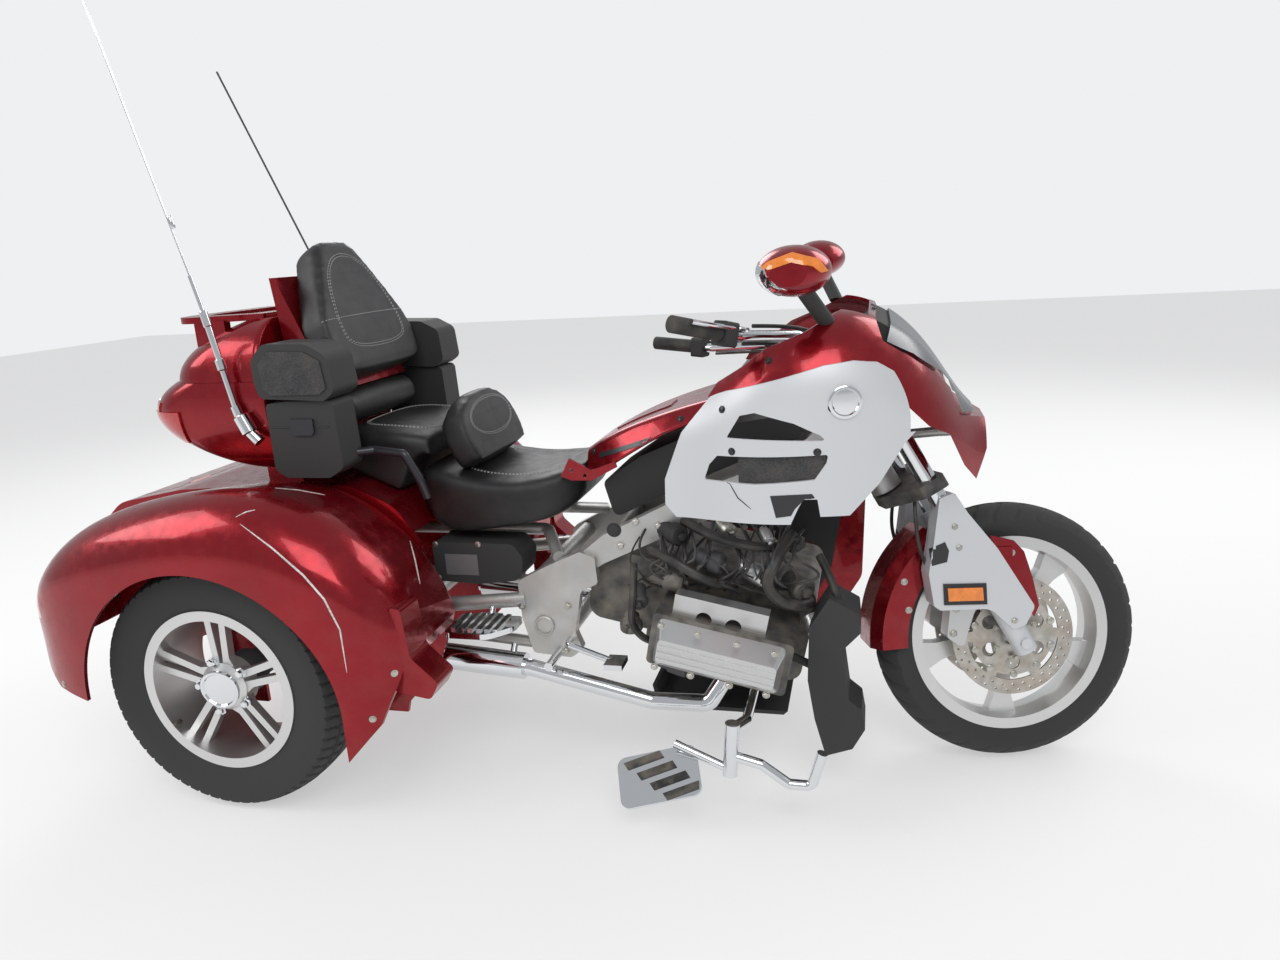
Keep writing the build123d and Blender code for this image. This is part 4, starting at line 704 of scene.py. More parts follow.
@dataclass
class Studio:
    """Plain pale floor, pale surroundings and soft lamps."""

    floor_size: float = 30.0
    floor_colour: Colour = (0.44, 0.44, 0.436)
    floor_glow: float = 0.48
    floor_roughness: float = 0.9
    seen_colour: Colour = (0.86, 0.87, 0.88)
    light_colour: Colour = (0.95, 0.97, 1.0)
    lamp_aim: Point = (0.0, 0.0, 0.6)
    world_strength: float = 0.50
    lamps: tuple[tuple[Point, float, float], ...] = (
        ((1.5, -4.2, 4.6), 3.4, 130.0),
        ((-4.2, -2.0, 3.6), 2.6, 85.0),
        ((3.6, 3.4, 3.8), 3.0, 90.0),
        ((-2.4, 4.0, 3.6), 2.6, 80.0),
    )

    def build(self) -> None:
        """Make the floor, the world and the lamps."""
        bpy.context.scene.view_settings.view_transform = "Standard"
        self._floor()
        self._world()
        for number, (where, size, power) in enumerate(self.lamps):
            data = bpy.data.lights.new(f"soft_lamp_{number}", "AREA")
            data.size = size
            data.energy = power
            lamp = bpy.data.objects.new(f"soft_lamp_{number}", data)
            lamp.location = where
            lamp.rotation_euler = (Vector(self.lamp_aim) - Vector(where)).to_track_quat("-Z", "Y").to_euler()
            bpy.context.collection.objects.link(lamp)

    def _floor(self) -> None:
        """Make the pale floor, with a faint glow that keeps its far side light."""
        half = self.floor_size / 2

        def build(work: bmesh.types.BMesh) -> None:
            """Add the floor's one face."""
            corners = [
                work.verts.new((sx * half, sy * half, 0.0))
                for sx, sy in ((-1, -1), (1, -1), (1, 1), (-1, 1))
            ]
            work.faces.new(corners)

        mesh = Workshop.mesh_of(build, "floor")
        floor = bpy.data.objects.new("floor", mesh)
        bpy.context.collection.objects.link(floor)
        material = bpy.data.materials.new("pale_floor")
        material.use_nodes = True
        shader = material.node_tree.nodes["Principled BSDF"]
        shader.inputs["Base Color"].default_value = (*self.floor_colour, 1.0)
        shader.inputs["Roughness"].default_value = self.floor_roughness
        shader.inputs["Emission Color"].default_value = (1.0, 1.0, 1.0, 1.0)
        shader.inputs["Emission Strength"].default_value = self.floor_glow
        mesh.materials.append(material)

    def _world(self) -> None:
        """Light the object evenly, and show a pale background."""
        world = bpy.data.worlds.new("pale_room")
        bpy.context.scene.world = world
        world.use_nodes = True
        nodes, links = world.node_tree.nodes, world.node_tree.links
        nodes.clear()
        output = nodes.new("ShaderNodeOutputWorld")
        seen = nodes.new("ShaderNodeBackground")
        seen.inputs["Color"].default_value = (*self.seen_colour, 1.0)
        light = nodes.new("ShaderNodeBackground")
        light.inputs["Color"].default_value = (*self.light_colour, 1.0)
        light.inputs["Strength"].default_value = self.world_strength
        path = nodes.new("ShaderNodeLightPath")
        mix = nodes.new("ShaderNodeMixShader")
        links.new(path.outputs["Is Camera Ray"], mix.inputs[0])
        links.new(light.outputs[0], mix.inputs[1])
        links.new(seen.outputs[0], mix.inputs[2])
        links.new(mix.outputs[0], output.inputs[0])


class CarriedNodes:
    """The CAD nodes that stay, each with its finish."""

    def dress(self) -> None:
        """Give every node its finish."""
        for finish, names in CAD_FINISHES.items():
            for name in names:
                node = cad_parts[name]
                for slot in node.material_slots:
                    slot.material = finish.material()


@dataclass
class Cushion:
    """One upholstered piece: its node's own space, softened and crowned as a closed form."""

    name: str
    node: str
    crown: float
    fill: float
    inset: float = 0.004
    voxel: float = 0.009
    softness: float = 0.8
    rounds: int = 10

    def build(self) -> bpy.types.Object:
        """Make the cushion from its node's own space, swollen and softened.

        Returns:
            The cushion.
        """
        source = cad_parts[self.node]
        mesh = source.data.copy()
        piece = bpy.data.objects.new(self.name, mesh)
        bpy.context.collection.objects.link(piece)
        self._apply(piece, "REMESH", mode="VOXEL", voxel_size=self.voxel)
        self._apply(piece, "SMOOTH", factor=self.softness, iterations=self.rounds)
        self._crown(piece.data)
        self._apply(piece, "SUBSURF", levels=1)
        mesh = piece.data
        bpy.data.objects.remove(piece)
        made = Workshop.finish_piece(self.name, mesh, LEATHER, Body.ROOT, "leather")
        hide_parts(self.node)
        return made

    @staticmethod
    def _apply(piece: bpy.types.Object, kind: str, **values: object) -> None:
        """Add a modifier and keep its result as the piece's mesh.

        Args:
            piece: the object.
            kind: the modifier's type.
            values: its settings.
        """
        modifier = piece.modifiers.new(kind.lower(), kind)
        for key, value in values.items():
            setattr(modifier, key, value)
        shape = bpy.data.meshes.new_from_object(piece.evaluated_get(bpy.context.evaluated_depsgraph_get()))
        old = piece.data
        piece.modifiers.clear()
        piece.data = shape
        bpy.data.meshes.remove(old)

    def _crown(self, mesh: bpy.types.Mesh) -> None:
        """Swell the middle of each face and draw the sides in between the corners.

        Args:
            mesh: the cushion's mesh.
        """
        low = Vector(map(min, zip(*(v.co for v in mesh.vertices))))
        high = Vector(map(max, zip(*(v.co for v in mesh.vertices))))
        middle, half = (low + high) / 2, (high - low) / 2
        for vertex in mesh.vertices:
            local = Vector((vertex.co[i] - middle[i]) / half[i] for i in range(3))
            bulge = (1 - min(1.0, abs(local.x)) ** 2) * (1 - min(1.0, abs(local.y)) ** 2)
            vertex.co += vertex.normal * (self.crown * bulge - self.inset)


@dataclass
class Seating:
    """All the upholstery, its stitching and the panels sewn into it."""

    cushions: tuple[Cushion, ...] = (
        Cushion("passenger_cushion", "passenger_seat", 0.014, 0.7),
        Cushion("rider_cushion", "rider_seat", 0.010, 0.7),
        Cushion("passenger_back_cushion", "passenger_backrest", 0.016, 0.8),
        Cushion("rider_back_cushion", "rider_backrest", 0.016, 0.8),
        Cushion("lumbar_cushion", "lumbar_roll", 0.006, 0.8),
    )
    stitch_length: float = 0.006
    stitch_gap: float = 0.004
    stitch_radius: float = 0.0011
    longest_gap: float = 0.08
    drop_step: float = 0.010
    drop_distance: float = 0.5
    backrest_foot: Point = (0.196, 0.0, 0.988)
    backrest_lean: float = math.radians(22.5)
    shield: tuple[Pair, ...] = (
        (-0.135, 0.075), (-0.16, 0.14), (-0.12, 0.27), (-0.05, 0.335),
        (0.05, 0.335), (0.12, 0.27), (0.16, 0.14), (0.135, 0.075),
    )
    cross_height: float = 0.165
    rider_foot: Point = (0.512, 0.0, 0.788)
    rider_lean: float = math.radians(24)
    oval_half: Pair = (0.128, 0.052)
    oval_height: float = 0.082
    seat_spans: tuple[tuple[str, float, float, float], ...] = (
        ("passenger_seat", 0.22, 0.43, 0.15), ("rider_seat", 0.47, 0.78, 0.135)
    )
    seam_squareness: float = 0.6
    seam_height: float = 0.9
    made: dict[str, bpy.types.Object] = field(default_factory=dict)

    def build(self) -> None:
        """Make the cushions and the seams sewn on them."""
        self.made = {cushion.node: cushion.build() for cushion in self.cushions}
        self._backrest_panel()
        self._rider_back_panel()
        self._seat_seams()

    def _tree(self, node: str) -> BVHTree:
        """Return the surface of a finished cushion.

        Args:
            node: the cushion's CAD node.

        Returns:
            The surface as a search tree.
        """
        work = bmesh.new()
        work.from_mesh(self.made[node].data)
        tree = BVHTree.FromBMesh(work)
        work.free()
        return tree

    def _project(self, node: str, points: Iterable[Vector], direction: Vector) -> list[Find]:
        """Return points dropped on a cushion along a direction, with their normals.

        Args:
            node: the cushion's CAD node.
            points: the points to drop.
            direction: the direction they fall in.

        Returns:
            The finds, without the points that miss.
        """
        tree = self._tree(node)
        found = []
        for point in points:
            hit, normal, _, _ = tree.ray_cast(point - direction * self.drop_distance, direction)
            if hit is not None:
                found.append((hit, normal))
        return found

    def _stitch(self, name: str, seam: list[Find]) -> None:
        """Sew pale stitches along a seam that lies on a surface.

        Args:
            name: the seam's name.
            seam: the places along it.
        """
        if len(seam) < 2:
            log.warning("seam %s finds no surface", name)
            return
        pitch = self.stitch_length + self.stitch_gap

        def build(work: bmesh.types.BMesh) -> None:
            """Add each stitch as a small capsule on the leather.

            Args:
                work: the mesh in hand.
            """
            spare = 0.0
            for (start, normal), (end, _) in zip(seam, seam[1:]):
                run = end - start
                length = run.length
                if length > self.longest_gap or length < 1e-6:
                    continue
                along = run / length
                spot = spare
                while spot < length:
                    centre = start + along * spot + normal * self.stitch_radius * 0.4
                    at = Workshop.stand(centre, along, normal)
                    r = self.stitch_radius
                    half = self.stitch_length / 2
                    Workshop.lathe(
                        work, [(r * 0.3, -half), (r, -half * 0.6), (r, half * 0.6), (r * 0.3, half)], at, 6
                    )
                    spot += pitch
                spare = spot - length

        Workshop.filled(name, build, THREAD, Body.ROOT, "leather")

    def _ring(
        self, node: str, outline: Sequence[Vector], direction: Vector, name: str, rows: Sequence[float]
    ) -> None:
        """Sew rings of stitches after an outline, each drawn in by an amount.

        Args:
            node: the cushion's CAD node.
            outline: the outline to follow.
            direction: the direction it is dropped in.
            name: the rings' name.
            rows: how far each ring is drawn in, in metres.
        """
        middle = sum(outline, Vector()) / len(outline)
        for number, inset in enumerate(rows):
            loop = [
                middle + (point - middle) * (1.0 - inset / max((point - middle).length, 1e-4))
                for point in outline
            ]
            loop.append(loop[0])
            dense = []
            for start, end in zip(loop, loop[1:]):
                steps = max(2, int((end - start).length / self.drop_step))
                dense += [start.lerp(end, step / steps) for step in range(steps)]
            self._stitch(f"{name}_{number}", self._project(node, dense + [dense[0]], direction))

    def _leaned(self, foot: Vector, lean: float, y: float, up: float) -> Vector:
        """Return a point on a cushion's leaned middle plane."""
        return foot + Vector((-math.sin(lean) * up, y, math.cos(lean) * up))

    def _smooth_loop(self, corners: Sequence[Pair], steps: int = 8) -> list[Pair]:
        """Return a closed smooth loop near some corner points, by quadratic arcs between middles.

        Args:
            corners: the corner points.
            steps: the points in each arc.

        Returns:
            The points in order.
        """
        loop = []
        count = len(corners)
        for number, corner in enumerate(corners):
            before = [(corner[i] + corners[number - 1][i]) / 2 for i in range(2)]
            after = [(corner[i] + corners[(number + 1) % count][i]) / 2 for i in range(2)]
            for step in range(steps):
                t = step / steps
                loop.append(tuple(
                    before[i] * (1 - t) ** 2 + 2 * corner[i] * t * (1 - t) + after[i] * t ** 2
                    for i in range(2)
                ))
        return loop

    def _backrest_panel(self) -> None:
        """Sew the tall backrest's inner shield and its cross seam."""
        foot, lean = place(*self.backrest_foot), self.backrest_lean
        back = Vector((-math.cos(lean), 0.0, -math.sin(lean)))
        outline = [self._leaned(foot, lean, y, up) for y, up in self._smooth_loop(self.shield)]
        self._ring("passenger_backrest", outline, back, "backrest_stitches", (0.0, 0.007))
        cross = [self._leaned(foot, lean, y / 100, self.cross_height) for y in range(-20, 21)]
        self._stitch("backrest_cross_stitches", self._project("passenger_backrest", cross, back))

    def _rider_back_panel(self) -> None:
        """Sew the rider backrest's oval panel."""
        foot, lean = place(*self.rider_foot), self.rider_lean
        back = Vector((-math.cos(lean), 0.0, -math.sin(lean)))
        wide, tall = self.oval_half
        turns = [2 * math.pi * k / 40 for k in range(40)]
        oval = [(wide * math.cos(t), self.oval_height + tall * math.sin(t)) for t in turns]
        outline = [self._leaned(foot, lean, y, up) for y, up in oval]
        self._ring("rider_backrest", outline, back, "rider_back_stitches", (0.0, 0.006))

    def _seat_seams(self) -> None:
        """Sew the seams that run round the seats' tops and down their fronts."""
        down = Vector((0.0, 0.0, -1.0))
        for node, x0, x1, half in self.seat_spans:
            middle = (x0 + x1) / 2
            reach = (x1 - x0) / 2
            loop = []
            for t in (2 * math.pi * k / 60 for k in range(60)):
                ahead = reach * math.copysign(abs(math.cos(t)) ** self.seam_squareness, math.cos(t))
                beside = half * math.copysign(abs(math.sin(t)) ** self.seam_squareness, math.sin(t))
                loop.append(place(middle + ahead, beside, self.seam_height))
            self._ring(node, loop, down, f"{node}_stitches", (0.0, 0.006))


TREAD_EDGE = 0.62
TREAD_END = 0.66


@dataclass
class Tyre:
    """A tyre with its own tread, wound round its axle from bead to bead."""

    node: str
    body: Body
    centre: Vector
    axle: Vector
    radius: float
    width: float
    seat: float
    rim: float
    crown_power: float
    grooves: tuple[float, ...]
    groove_width: float
    depth: float
    blocks: int
    slant: float
    around: int = 400
    across: int = 52
    shoulder: float = 0.47
    crown_curve: float = 2.6
    wall_curve: float = 1.6
    swell: float = 0.03
    bead: float = 0.006
    bead_lift: float = 0.0015
    bead_foot: float = 0.012
    side_clearance: float = 0.0005
    gap_share: float = 0.22
    gap_span: Pair = (0.12, 1.05)
    gap_depth: float = 0.8

    def outline(self, t: float) -> Pair:
        """Return the radius and the sideways place at t, from -1 at one bead to 1 at the other.

        Args:
            t: the share of the way across the tread.

        Returns:
            The radius and the sideways place.
        """
        if abs(t) < TREAD_EDGE:
            side = t / TREAD_EDGE
            y = side * self.width * self.shoulder
            drop = (self.radius - self.seat) * self.crown_power * abs(side) ** self.crown_curve
            return self.radius - drop, y
        wall = (abs(t) - TREAD_EDGE) / (1 - TREAD_EDGE)
        top = self.radius - (self.radius - self.seat) * self.crown_power
        r = top + (self.seat + self.bead - top) * wall
        swell = math.sin(math.pi * min(1.0, wall * 0.9 + 0.1)) * self.swell * self.width
        y_edge = self.width * self.shoulder
        y_bead = self.rim / 2 - self.bead
        y = y_edge + (y_bead - y_edge) * wall ** self.wall_curve + swell * (1 - wall)
        return r, math.copysign(min(y, self.width / 2 - self.side_clearance), t)

    def cut(self, t: float, turn: float) -> float:
        """Return how deep the tread is cut at a place.

        Args:
            t: the share of the way across the tread.
            turn: the angle round the axle.

        Returns:
            The cut's depth in metres.
        """
        if abs(t) > TREAD_END:
            return 0.0
        side = t / TREAD_EDGE
        for groove in self.grooves:
            if abs(side - groove) < self.groove_width:
                return self.depth
        phase = (turn * self.blocks / (2 * math.pi) + abs(side) * self.slant) % 1.0
        if phase < self.gap_share and self.gap_span[0] < abs(side) < self.gap_span[1]:
            return self.depth * self.gap_depth
        return 0.0

    def build(self) -> bpy.types.Object:
        """Make the tyre and let it stand for its node.

        Returns:
            The tyre.
        """
        at = Workshop.stand(self.centre, self.axle)

        def build(work: bmesh.types.BMesh) -> None:
            """Add the wound grid, closed inside at the bead seat.

            Args:
                work: the mesh in hand.
            """
            rings = []
            for step in range(self.around):
                turn = 2 * math.pi * step / self.around
                ring = []
                for item in range(self.across + 1):
                    t = -1 + 2 * item / self.across
                    r, y = self.outline(t)
                    r -= self.cut(t, turn)
                    ring.append(work.verts.new(at @ Vector((r * math.cos(turn), r * math.sin(turn), y))))
                foot = self.rim / 2 - self.bead_foot
                for y in (foot, -foot):
                    r = self.seat + self.bead_lift
                    ring.append(work.verts.new(at @ Vector((r * math.cos(turn), r * math.sin(turn), y))))
                rings.append(ring)
            size = len(rings[0])
            for step in range(self.around):
                low, high = rings[step], rings[(step + 1) % self.around]
                for item in range(size):
                    follow = (item + 1) % size
                    work.faces.new((low[item], low[follow], high[follow], high[item]))

        name = self.node + "_tread"
        piece = Workshop.filled(name, build, TYRE, self.body, "tyre_rubber")
        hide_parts(self.node)
        return piece


@dataclass
class Wheels:
    """The tyres, and the small fittings on the three wheels."""

    valve_turn: float = math.radians(215)
    valve_out: float = 0.070
    valve_radius: float = 0.181
    bolt_count: int = 6
    bolt_ring: float = 0.052
    bolt_out: float = 0.079
    bolt_radius: float = 0.006
    valve_profile: tuple[Pair, ...] = (
        (0.006, -0.004), (0.006, 0.010), (0.0035, 0.014), (0.0035, 0.030),
        (0.0045, 0.031), (0.0045, 0.040), (0.003, 0.042),
    )

    def build(self) -> None:
        """Make the tyres, valves and wheel bolts."""
        axle = steered(WHEELBASE, 1.0, FRONT_AXLE_Z) - steered(WHEELBASE, 0.0, FRONT_AXLE_Z)
        Tyre(
            "front_tyre", Body.FRONT_WHEEL, steered(WHEELBASE, 0.0, FRONT_AXLE_Z), axle,
            radius=0.3195, width=0.130, seat=0.2286, rim=0.098, crown_power=0.34, grooves=(0.0,),
            groove_width=0.03, depth=0.0045, blocks=34, slant=0.9, around=420, across=44,
        ).build()
        for side, body in ((Side.RIGHT, Body.REAR_RIGHT), (Side.LEFT, Body.REAR_LEFT)):
            centre = place(0.0, side.value * REAR_WHEEL_Y, REAR_AXLE_Z)
            Tyre(
                f"rear_tyre_{side.name.lower()}", body, centre, Vector((0.0, 1.0, 0.0)),
                radius=0.320, width=0.205, seat=0.1905, rim=0.178, crown_power=0.13,
                grooves=(-0.55, -0.18, 0.18, 0.55), groove_width=0.045, depth=0.006,
                blocks=64, slant=0.5, around=448, across=60,
            ).build()
            self._valve(side, body)
        self._disc_bolts()

    def _valve(self, side: Side, body: Body) -> None:
        """Add the valve stem low in the rear rim's dish.

        Args:
            side: the wheel's side.
            body: its body.
        """
        out = Vector((math.cos(self.valve_turn), 0.0, math.sin(self.valve_turn)))
        foot = place(0.0, side.value * (REAR_WHEEL_Y + self.valve_out), REAR_AXLE_Z) + out * self.valve_radius
        axis = (Vector((0.0, side.value, 0.0)) - out * 0.7).normalized()
        name = f"valve_stem_{side.name.lower()}"
        at = Workshop.stand(foot, axis)
        Workshop.filled(
            name, lambda work: Workshop.lathe(work, self.valve_profile, at, 14), RUBBER, body, "rubber"
        )

    def _disc_bolts(self) -> None:
        """Add the bolts that hold the brake discs to the front hub."""
        centre = steered(WHEELBASE, 0.0, FRONT_AXLE_Z)
        axle = steered(WHEELBASE, 1.0, FRONT_AXLE_Z) - centre

        def build(work: bmesh.types.BMesh) -> None:
            """Add six bolts on each side.

            Args:
                work: the mesh in hand.
            """
            for sign in (-1, 1):
                frame_at = Workshop.stand(centre, axle * sign)
                for spot in Workshop.round_places(frame_at, self.bolt_count, self.bolt_ring, self.bolt_out):
                    Workshop.bolt(work, Workshop.stand(spot, axle * sign), self.bolt_radius, self.bolt_radius)

        Workshop.filled("disc_bolts", build, ZINC, Body.FRONT_WHEEL, "steel")


@dataclass
class EngineDressing:
    """What hangs about the open engine: small turned units, bolts, hoses and wires."""

    tilt: float = math.radians(12)
    middle: Vector = field(default_factory=lambda: place(1.195, 0.0, 0.395))
    hose_table: tuple[tuple[tuple[Point, ...], float], ...] = (
        (
            (
                (1.02, -0.25, 0.60), (1.08, -0.30, 0.60), (1.15, -0.31, 0.56), (1.20, -0.27, 0.52),
                (1.22, -0.20, 0.50)
            ),
            0.011
        ),
        (
            (
                (1.36, -0.22, 0.64), (1.33, -0.29, 0.60), (1.30, -0.31, 0.54), (1.36, -0.29, 0.48),
                (1.40, -0.22, 0.47)
            ),
            0.014
        ),
        (
            (
                (0.98, -0.24, 0.56), (0.99, -0.30, 0.50), (0.98, -0.31, 0.43), (1.02, -0.28, 0.37),
                (1.05, -0.20, 0.34)
            ),
            0.009
        ),
        (
            (
                (1.10, -0.20, 0.66), (1.16, -0.26, 0.65), (1.24, -0.28, 0.63), (1.32, -0.25, 0.61),
                (1.38, -0.18, 0.60)
            ),
            0.012
        ),
        (((1.42, -0.20, 0.58), (1.46, -0.25, 0.52), (1.47, -0.25, 0.44), (1.45, -0.21, 0.38)), 0.010),
    )
    clutter: tuple[tuple[Point, Point, float, float, Finish, str], ...] = (
        ((1.03, -0.255, 0.545), (1.11, -0.265, 0.530), 0.030, 0.4, ENGINE_GREY, "dark_iron"),
        ((1.14, -0.245, 0.585), (1.20, -0.255, 0.570), 0.028, 0.5, DARK_IRON, "dark_iron"),
        ((1.24, -0.225, 0.560), (1.30, -0.260, 0.540), 0.024, 0.3, CAST_ALLOY, "cast_alloy"),
        ((1.35, -0.200, 0.520), (1.39, -0.245, 0.505), 0.032, 0.6, ENGINE_GREY, "dark_iron"),
        ((1.33, -0.180, 0.625), (1.37, -0.235, 0.615), 0.022, 0.5, BLACK_PLASTIC, "black_plastic"),
        ((1.05, -0.200, 0.640), (1.10, -0.245, 0.635), 0.026, 0.5, BLACK_PLASTIC, "black_plastic"),
        ((0.985, -0.235, 0.500), (0.995, -0.275, 0.470), 0.024, 0.7, DARK_IRON, "dark_iron"),
        ((1.19, -0.205, 0.655), (1.22, -0.245, 0.648), 0.018, 0.3, ZINC, "steel"),
        ((1.29, -0.200, 0.640), (1.31, -0.250, 0.628), 0.014, 0.2, CAST_ALLOY, "cast_alloy"),
        ((1.40, -0.215, 0.430), (1.42, -0.245, 0.405), 0.026, 0.4, CAST_ALLOY, "cast_alloy"),
        ((0.96, -0.230, 0.420), (0.97, -0.262, 0.400), 0.028, 0.5, ENGINE_GREY, "dark_iron"),
        ((1.02, -0.215, 0.300), (1.10, -0.235, 0.285), 0.022, 0.4, DARK_IRON, "dark_iron"),
    )
    wire_count: int = 26
    wire_seed: int = 7
    wire_points: int = 5
    wire_row: Pair = (1.00, 0.40)
    wire_top: Pair = (-0.19, 0.64)
    wire_bulge: Pair = (-0.22, 0.07)
    wire_fall: float = 0.035
    wire_radius: Pair = (0.0022, 0.001)
    cover_bolts_ahead: tuple[float, ...] = (-0.13, -0.045, 0.045, 0.13)
    cover_bolts_up: Pair = (-0.052, 0.052)
    cover_bolt: Pair = (0.0065, 0.007)
    cover_face: float = 0.3985

    def local(self, ahead: float, up: float, out: float, sign: int = -1) -> Vector:
        """Return a point given in the engine's tilted frame."""
        c, s = math.cos(self.tilt), math.sin(self.tilt)
        return self.middle + Vector((ahead * c + up * s, sign * out, -ahead * s + up * c))

    def build(self) -> None:
        """Make the dressing on both banks."""
        for number, (points, radius) in enumerate(self.hose_table):
            Workshop.tube(
                f"engine_hose_{number}", [place(*p) for p in points], radius, HOSE, Body.ROOT, "rubber"
            )
        for number, (start, end, radius, step, finish, slot) in enumerate(self.clutter):
            self._lump(f"engine_unit_{number}", place(*start), place(*end), radius, step, finish, slot)
        self._wires()
        self._cover_bolts()

    def _lump(
        self, name: str, start: Vector, end: Vector, radius: float, step: float, finish: Finish, slot: str
    ) -> None:
        """Add a small turned unit, stepped at a share of its length, with a ring of bolts on its face.

        Args:
            name: the unit's name.
            start: the foot of its axis.
            end: the end of its axis.
            radius: its radius.
            step: the share of its length where it widens.
            finish: its surface.
            slot: the record's material slot.
        """
        run = end - start
        length = run.length
        profile = [
            (radius * 0.8, 0.0), (radius * 0.8, length * step), (radius, length * step + 0.002),
            (radius, length * 0.92), (radius * 0.86, length), (radius * 0.4, length),
            (radius * 0.36, length + 0.010), (radius * 0.2, length + 0.011),
        ]

        def build(work: bmesh.types.BMesh) -> None:
            """Add the unit and its bolts.

            Args:
                work: the mesh in hand.
            """
            at = Workshop.stand(start, run)
            Workshop.lathe(work, profile, at, 28)
            for spot in Workshop.round_places(at, 4, radius * 0.66, length, 0.5):
                Workshop.bolt(work, Workshop.stand(spot, run), 0.0032, 0.004)

        Workshop.filled(name, build, finish, Body.ROOT, slot)

    def _wires(self) -> None:
        """Hang the loose wires above the right bank."""
        chance = random.Random(self.wire_seed)
        for number in range(self.wire_count):
            x = self.wire_row[0] + self.wire_row[1] * number / self.wire_count
            y, z = self.wire_top
            out, bulge = self.wire_bulge
            points = [Vector((x, y, z + chance.uniform(-0.02, 0.02)))]
            for step in range(1, self.wire_points):
                points.append(Vector((
                    x + chance.uniform(-0.05, 0.07),
                    out - bulge * math.sin(step * 0.8) - chance.uniform(0, 0.02),
                    z - self.wire_fall * step + chance.uniform(-0.015, 0.015),
                )))
            finish = (HOSE, HOSE, RUBBER, DARK_IRON)[number % 4]
            radius = self.wire_radius[0] + self.wire_radius[1] * (number % 3)
            path = [place(*p) for p in points]
            Workshop.tube(f"loose_wire_{number}", path, radius, finish, Body.ROOT, "rubber")

    def _cover_bolts(self) -> None:
        """Add the valve covers' bolts."""

        def build(work: bmesh.types.BMesh) -> None:
            """Add bolts along the long edges of both covers.

            Args:
                work: the mesh in hand.
            """
            for sign in (-1, 1):
                for ahead in self.cover_bolts_ahead:
                    for up in self.cover_bolts_up:
                        spot = self.local(ahead, up, self.cover_face, sign)
                        Workshop.bolt(work, Workshop.stand(spot, Vector((0, sign, 0))), *self.cover_bolt)

        Workshop.filled("valve_cover_bolts", build, ZINC, Body.ROOT, "steel")


class Cast(Enum):
    """The ways a flat outline is dropped on the trike; pairs are in photograph pixels or in millimetres."""

    PHOTO = "pixels of the photograph"
    SIDE = "x and z, from the side"
    FORK = "x and z, from the side, with the front end straight"
    FORK_PHOTO = "pixels of the photograph, mirrored with the front end straight"
    TOP = "x and y, from above"
    REAR = "y and z, from behind"
    FRONT = "y and z, from the front"


@dataclass
class Reach:
    """Finds the surface of some CAD nodes under the pairs of a cast."""

    view: PhotoView
    cast: Cast
    nodes: tuple[str, ...]

    def __post_init__(self) -> None:
        """Gather the nodes' surface."""
        self.tree = surface_of(*self.nodes)

    def hit(self, a: float, b: float, side: Side = Side.RIGHT) -> Find | None:
        """Return the surface point and normal under a pair.

        Args:
            a: the pair's first number.
            b: its second number.
            side: the side it is for; the left is the right mirrored.

        Returns:
            The point and its normal, or None where the cast meets nothing.
        """
        if self.cast in (Cast.PHOTO, Cast.FORK_PHOTO):
            return self._mirrored(self.view.touch(a, b, self.tree), side)
        a, b, far, sign = a / 1000, b / 1000, 3.0, side.value
        turn = STEER_TURN.to_3x3()
        start, way = {
            Cast.SIDE: lambda: (place(a, sign * far, b), Vector((0, -sign, 0))),
            Cast.FORK: lambda: (steered(a, sign * far, b), turn @ Vector((0, -sign, 0))),
            Cast.TOP: lambda: (place(a, -sign * b, far), Vector((0, 0, -1))),
            Cast.REAR: lambda: (place(-far, -sign * a, b), Vector((1, 0, 0))),
            Cast.FRONT: lambda: (place(far, -sign * a, b), Vector((-1, 0, 0))),
        }[self.cast]()
        hit, normal, _, _ = self.tree.ray_cast(start, way)
        if hit is None:
            return None
        return hit, normal if normal.dot(way) < 0 else -normal

    def _mirrored(self, found: Find | None, side: Side) -> Find | None:
        """Return a right-side find, carried to the left where that is asked.

        Args:
            found: the find on the right.
            side: the side asked for.

        Returns:
            The find on that side.
        """
        if found is None or side is Side.RIGHT:
            return found
        flip = Matrix.Scale(-1, 4, Vector((0, 1, 0)))
        if self.cast is Cast.FORK_PHOTO:
            flip = STEER_TURN @ flip @ STEER_TURN.inverted()
        return flip @ found[0], flip.to_3x3() @ found[1]


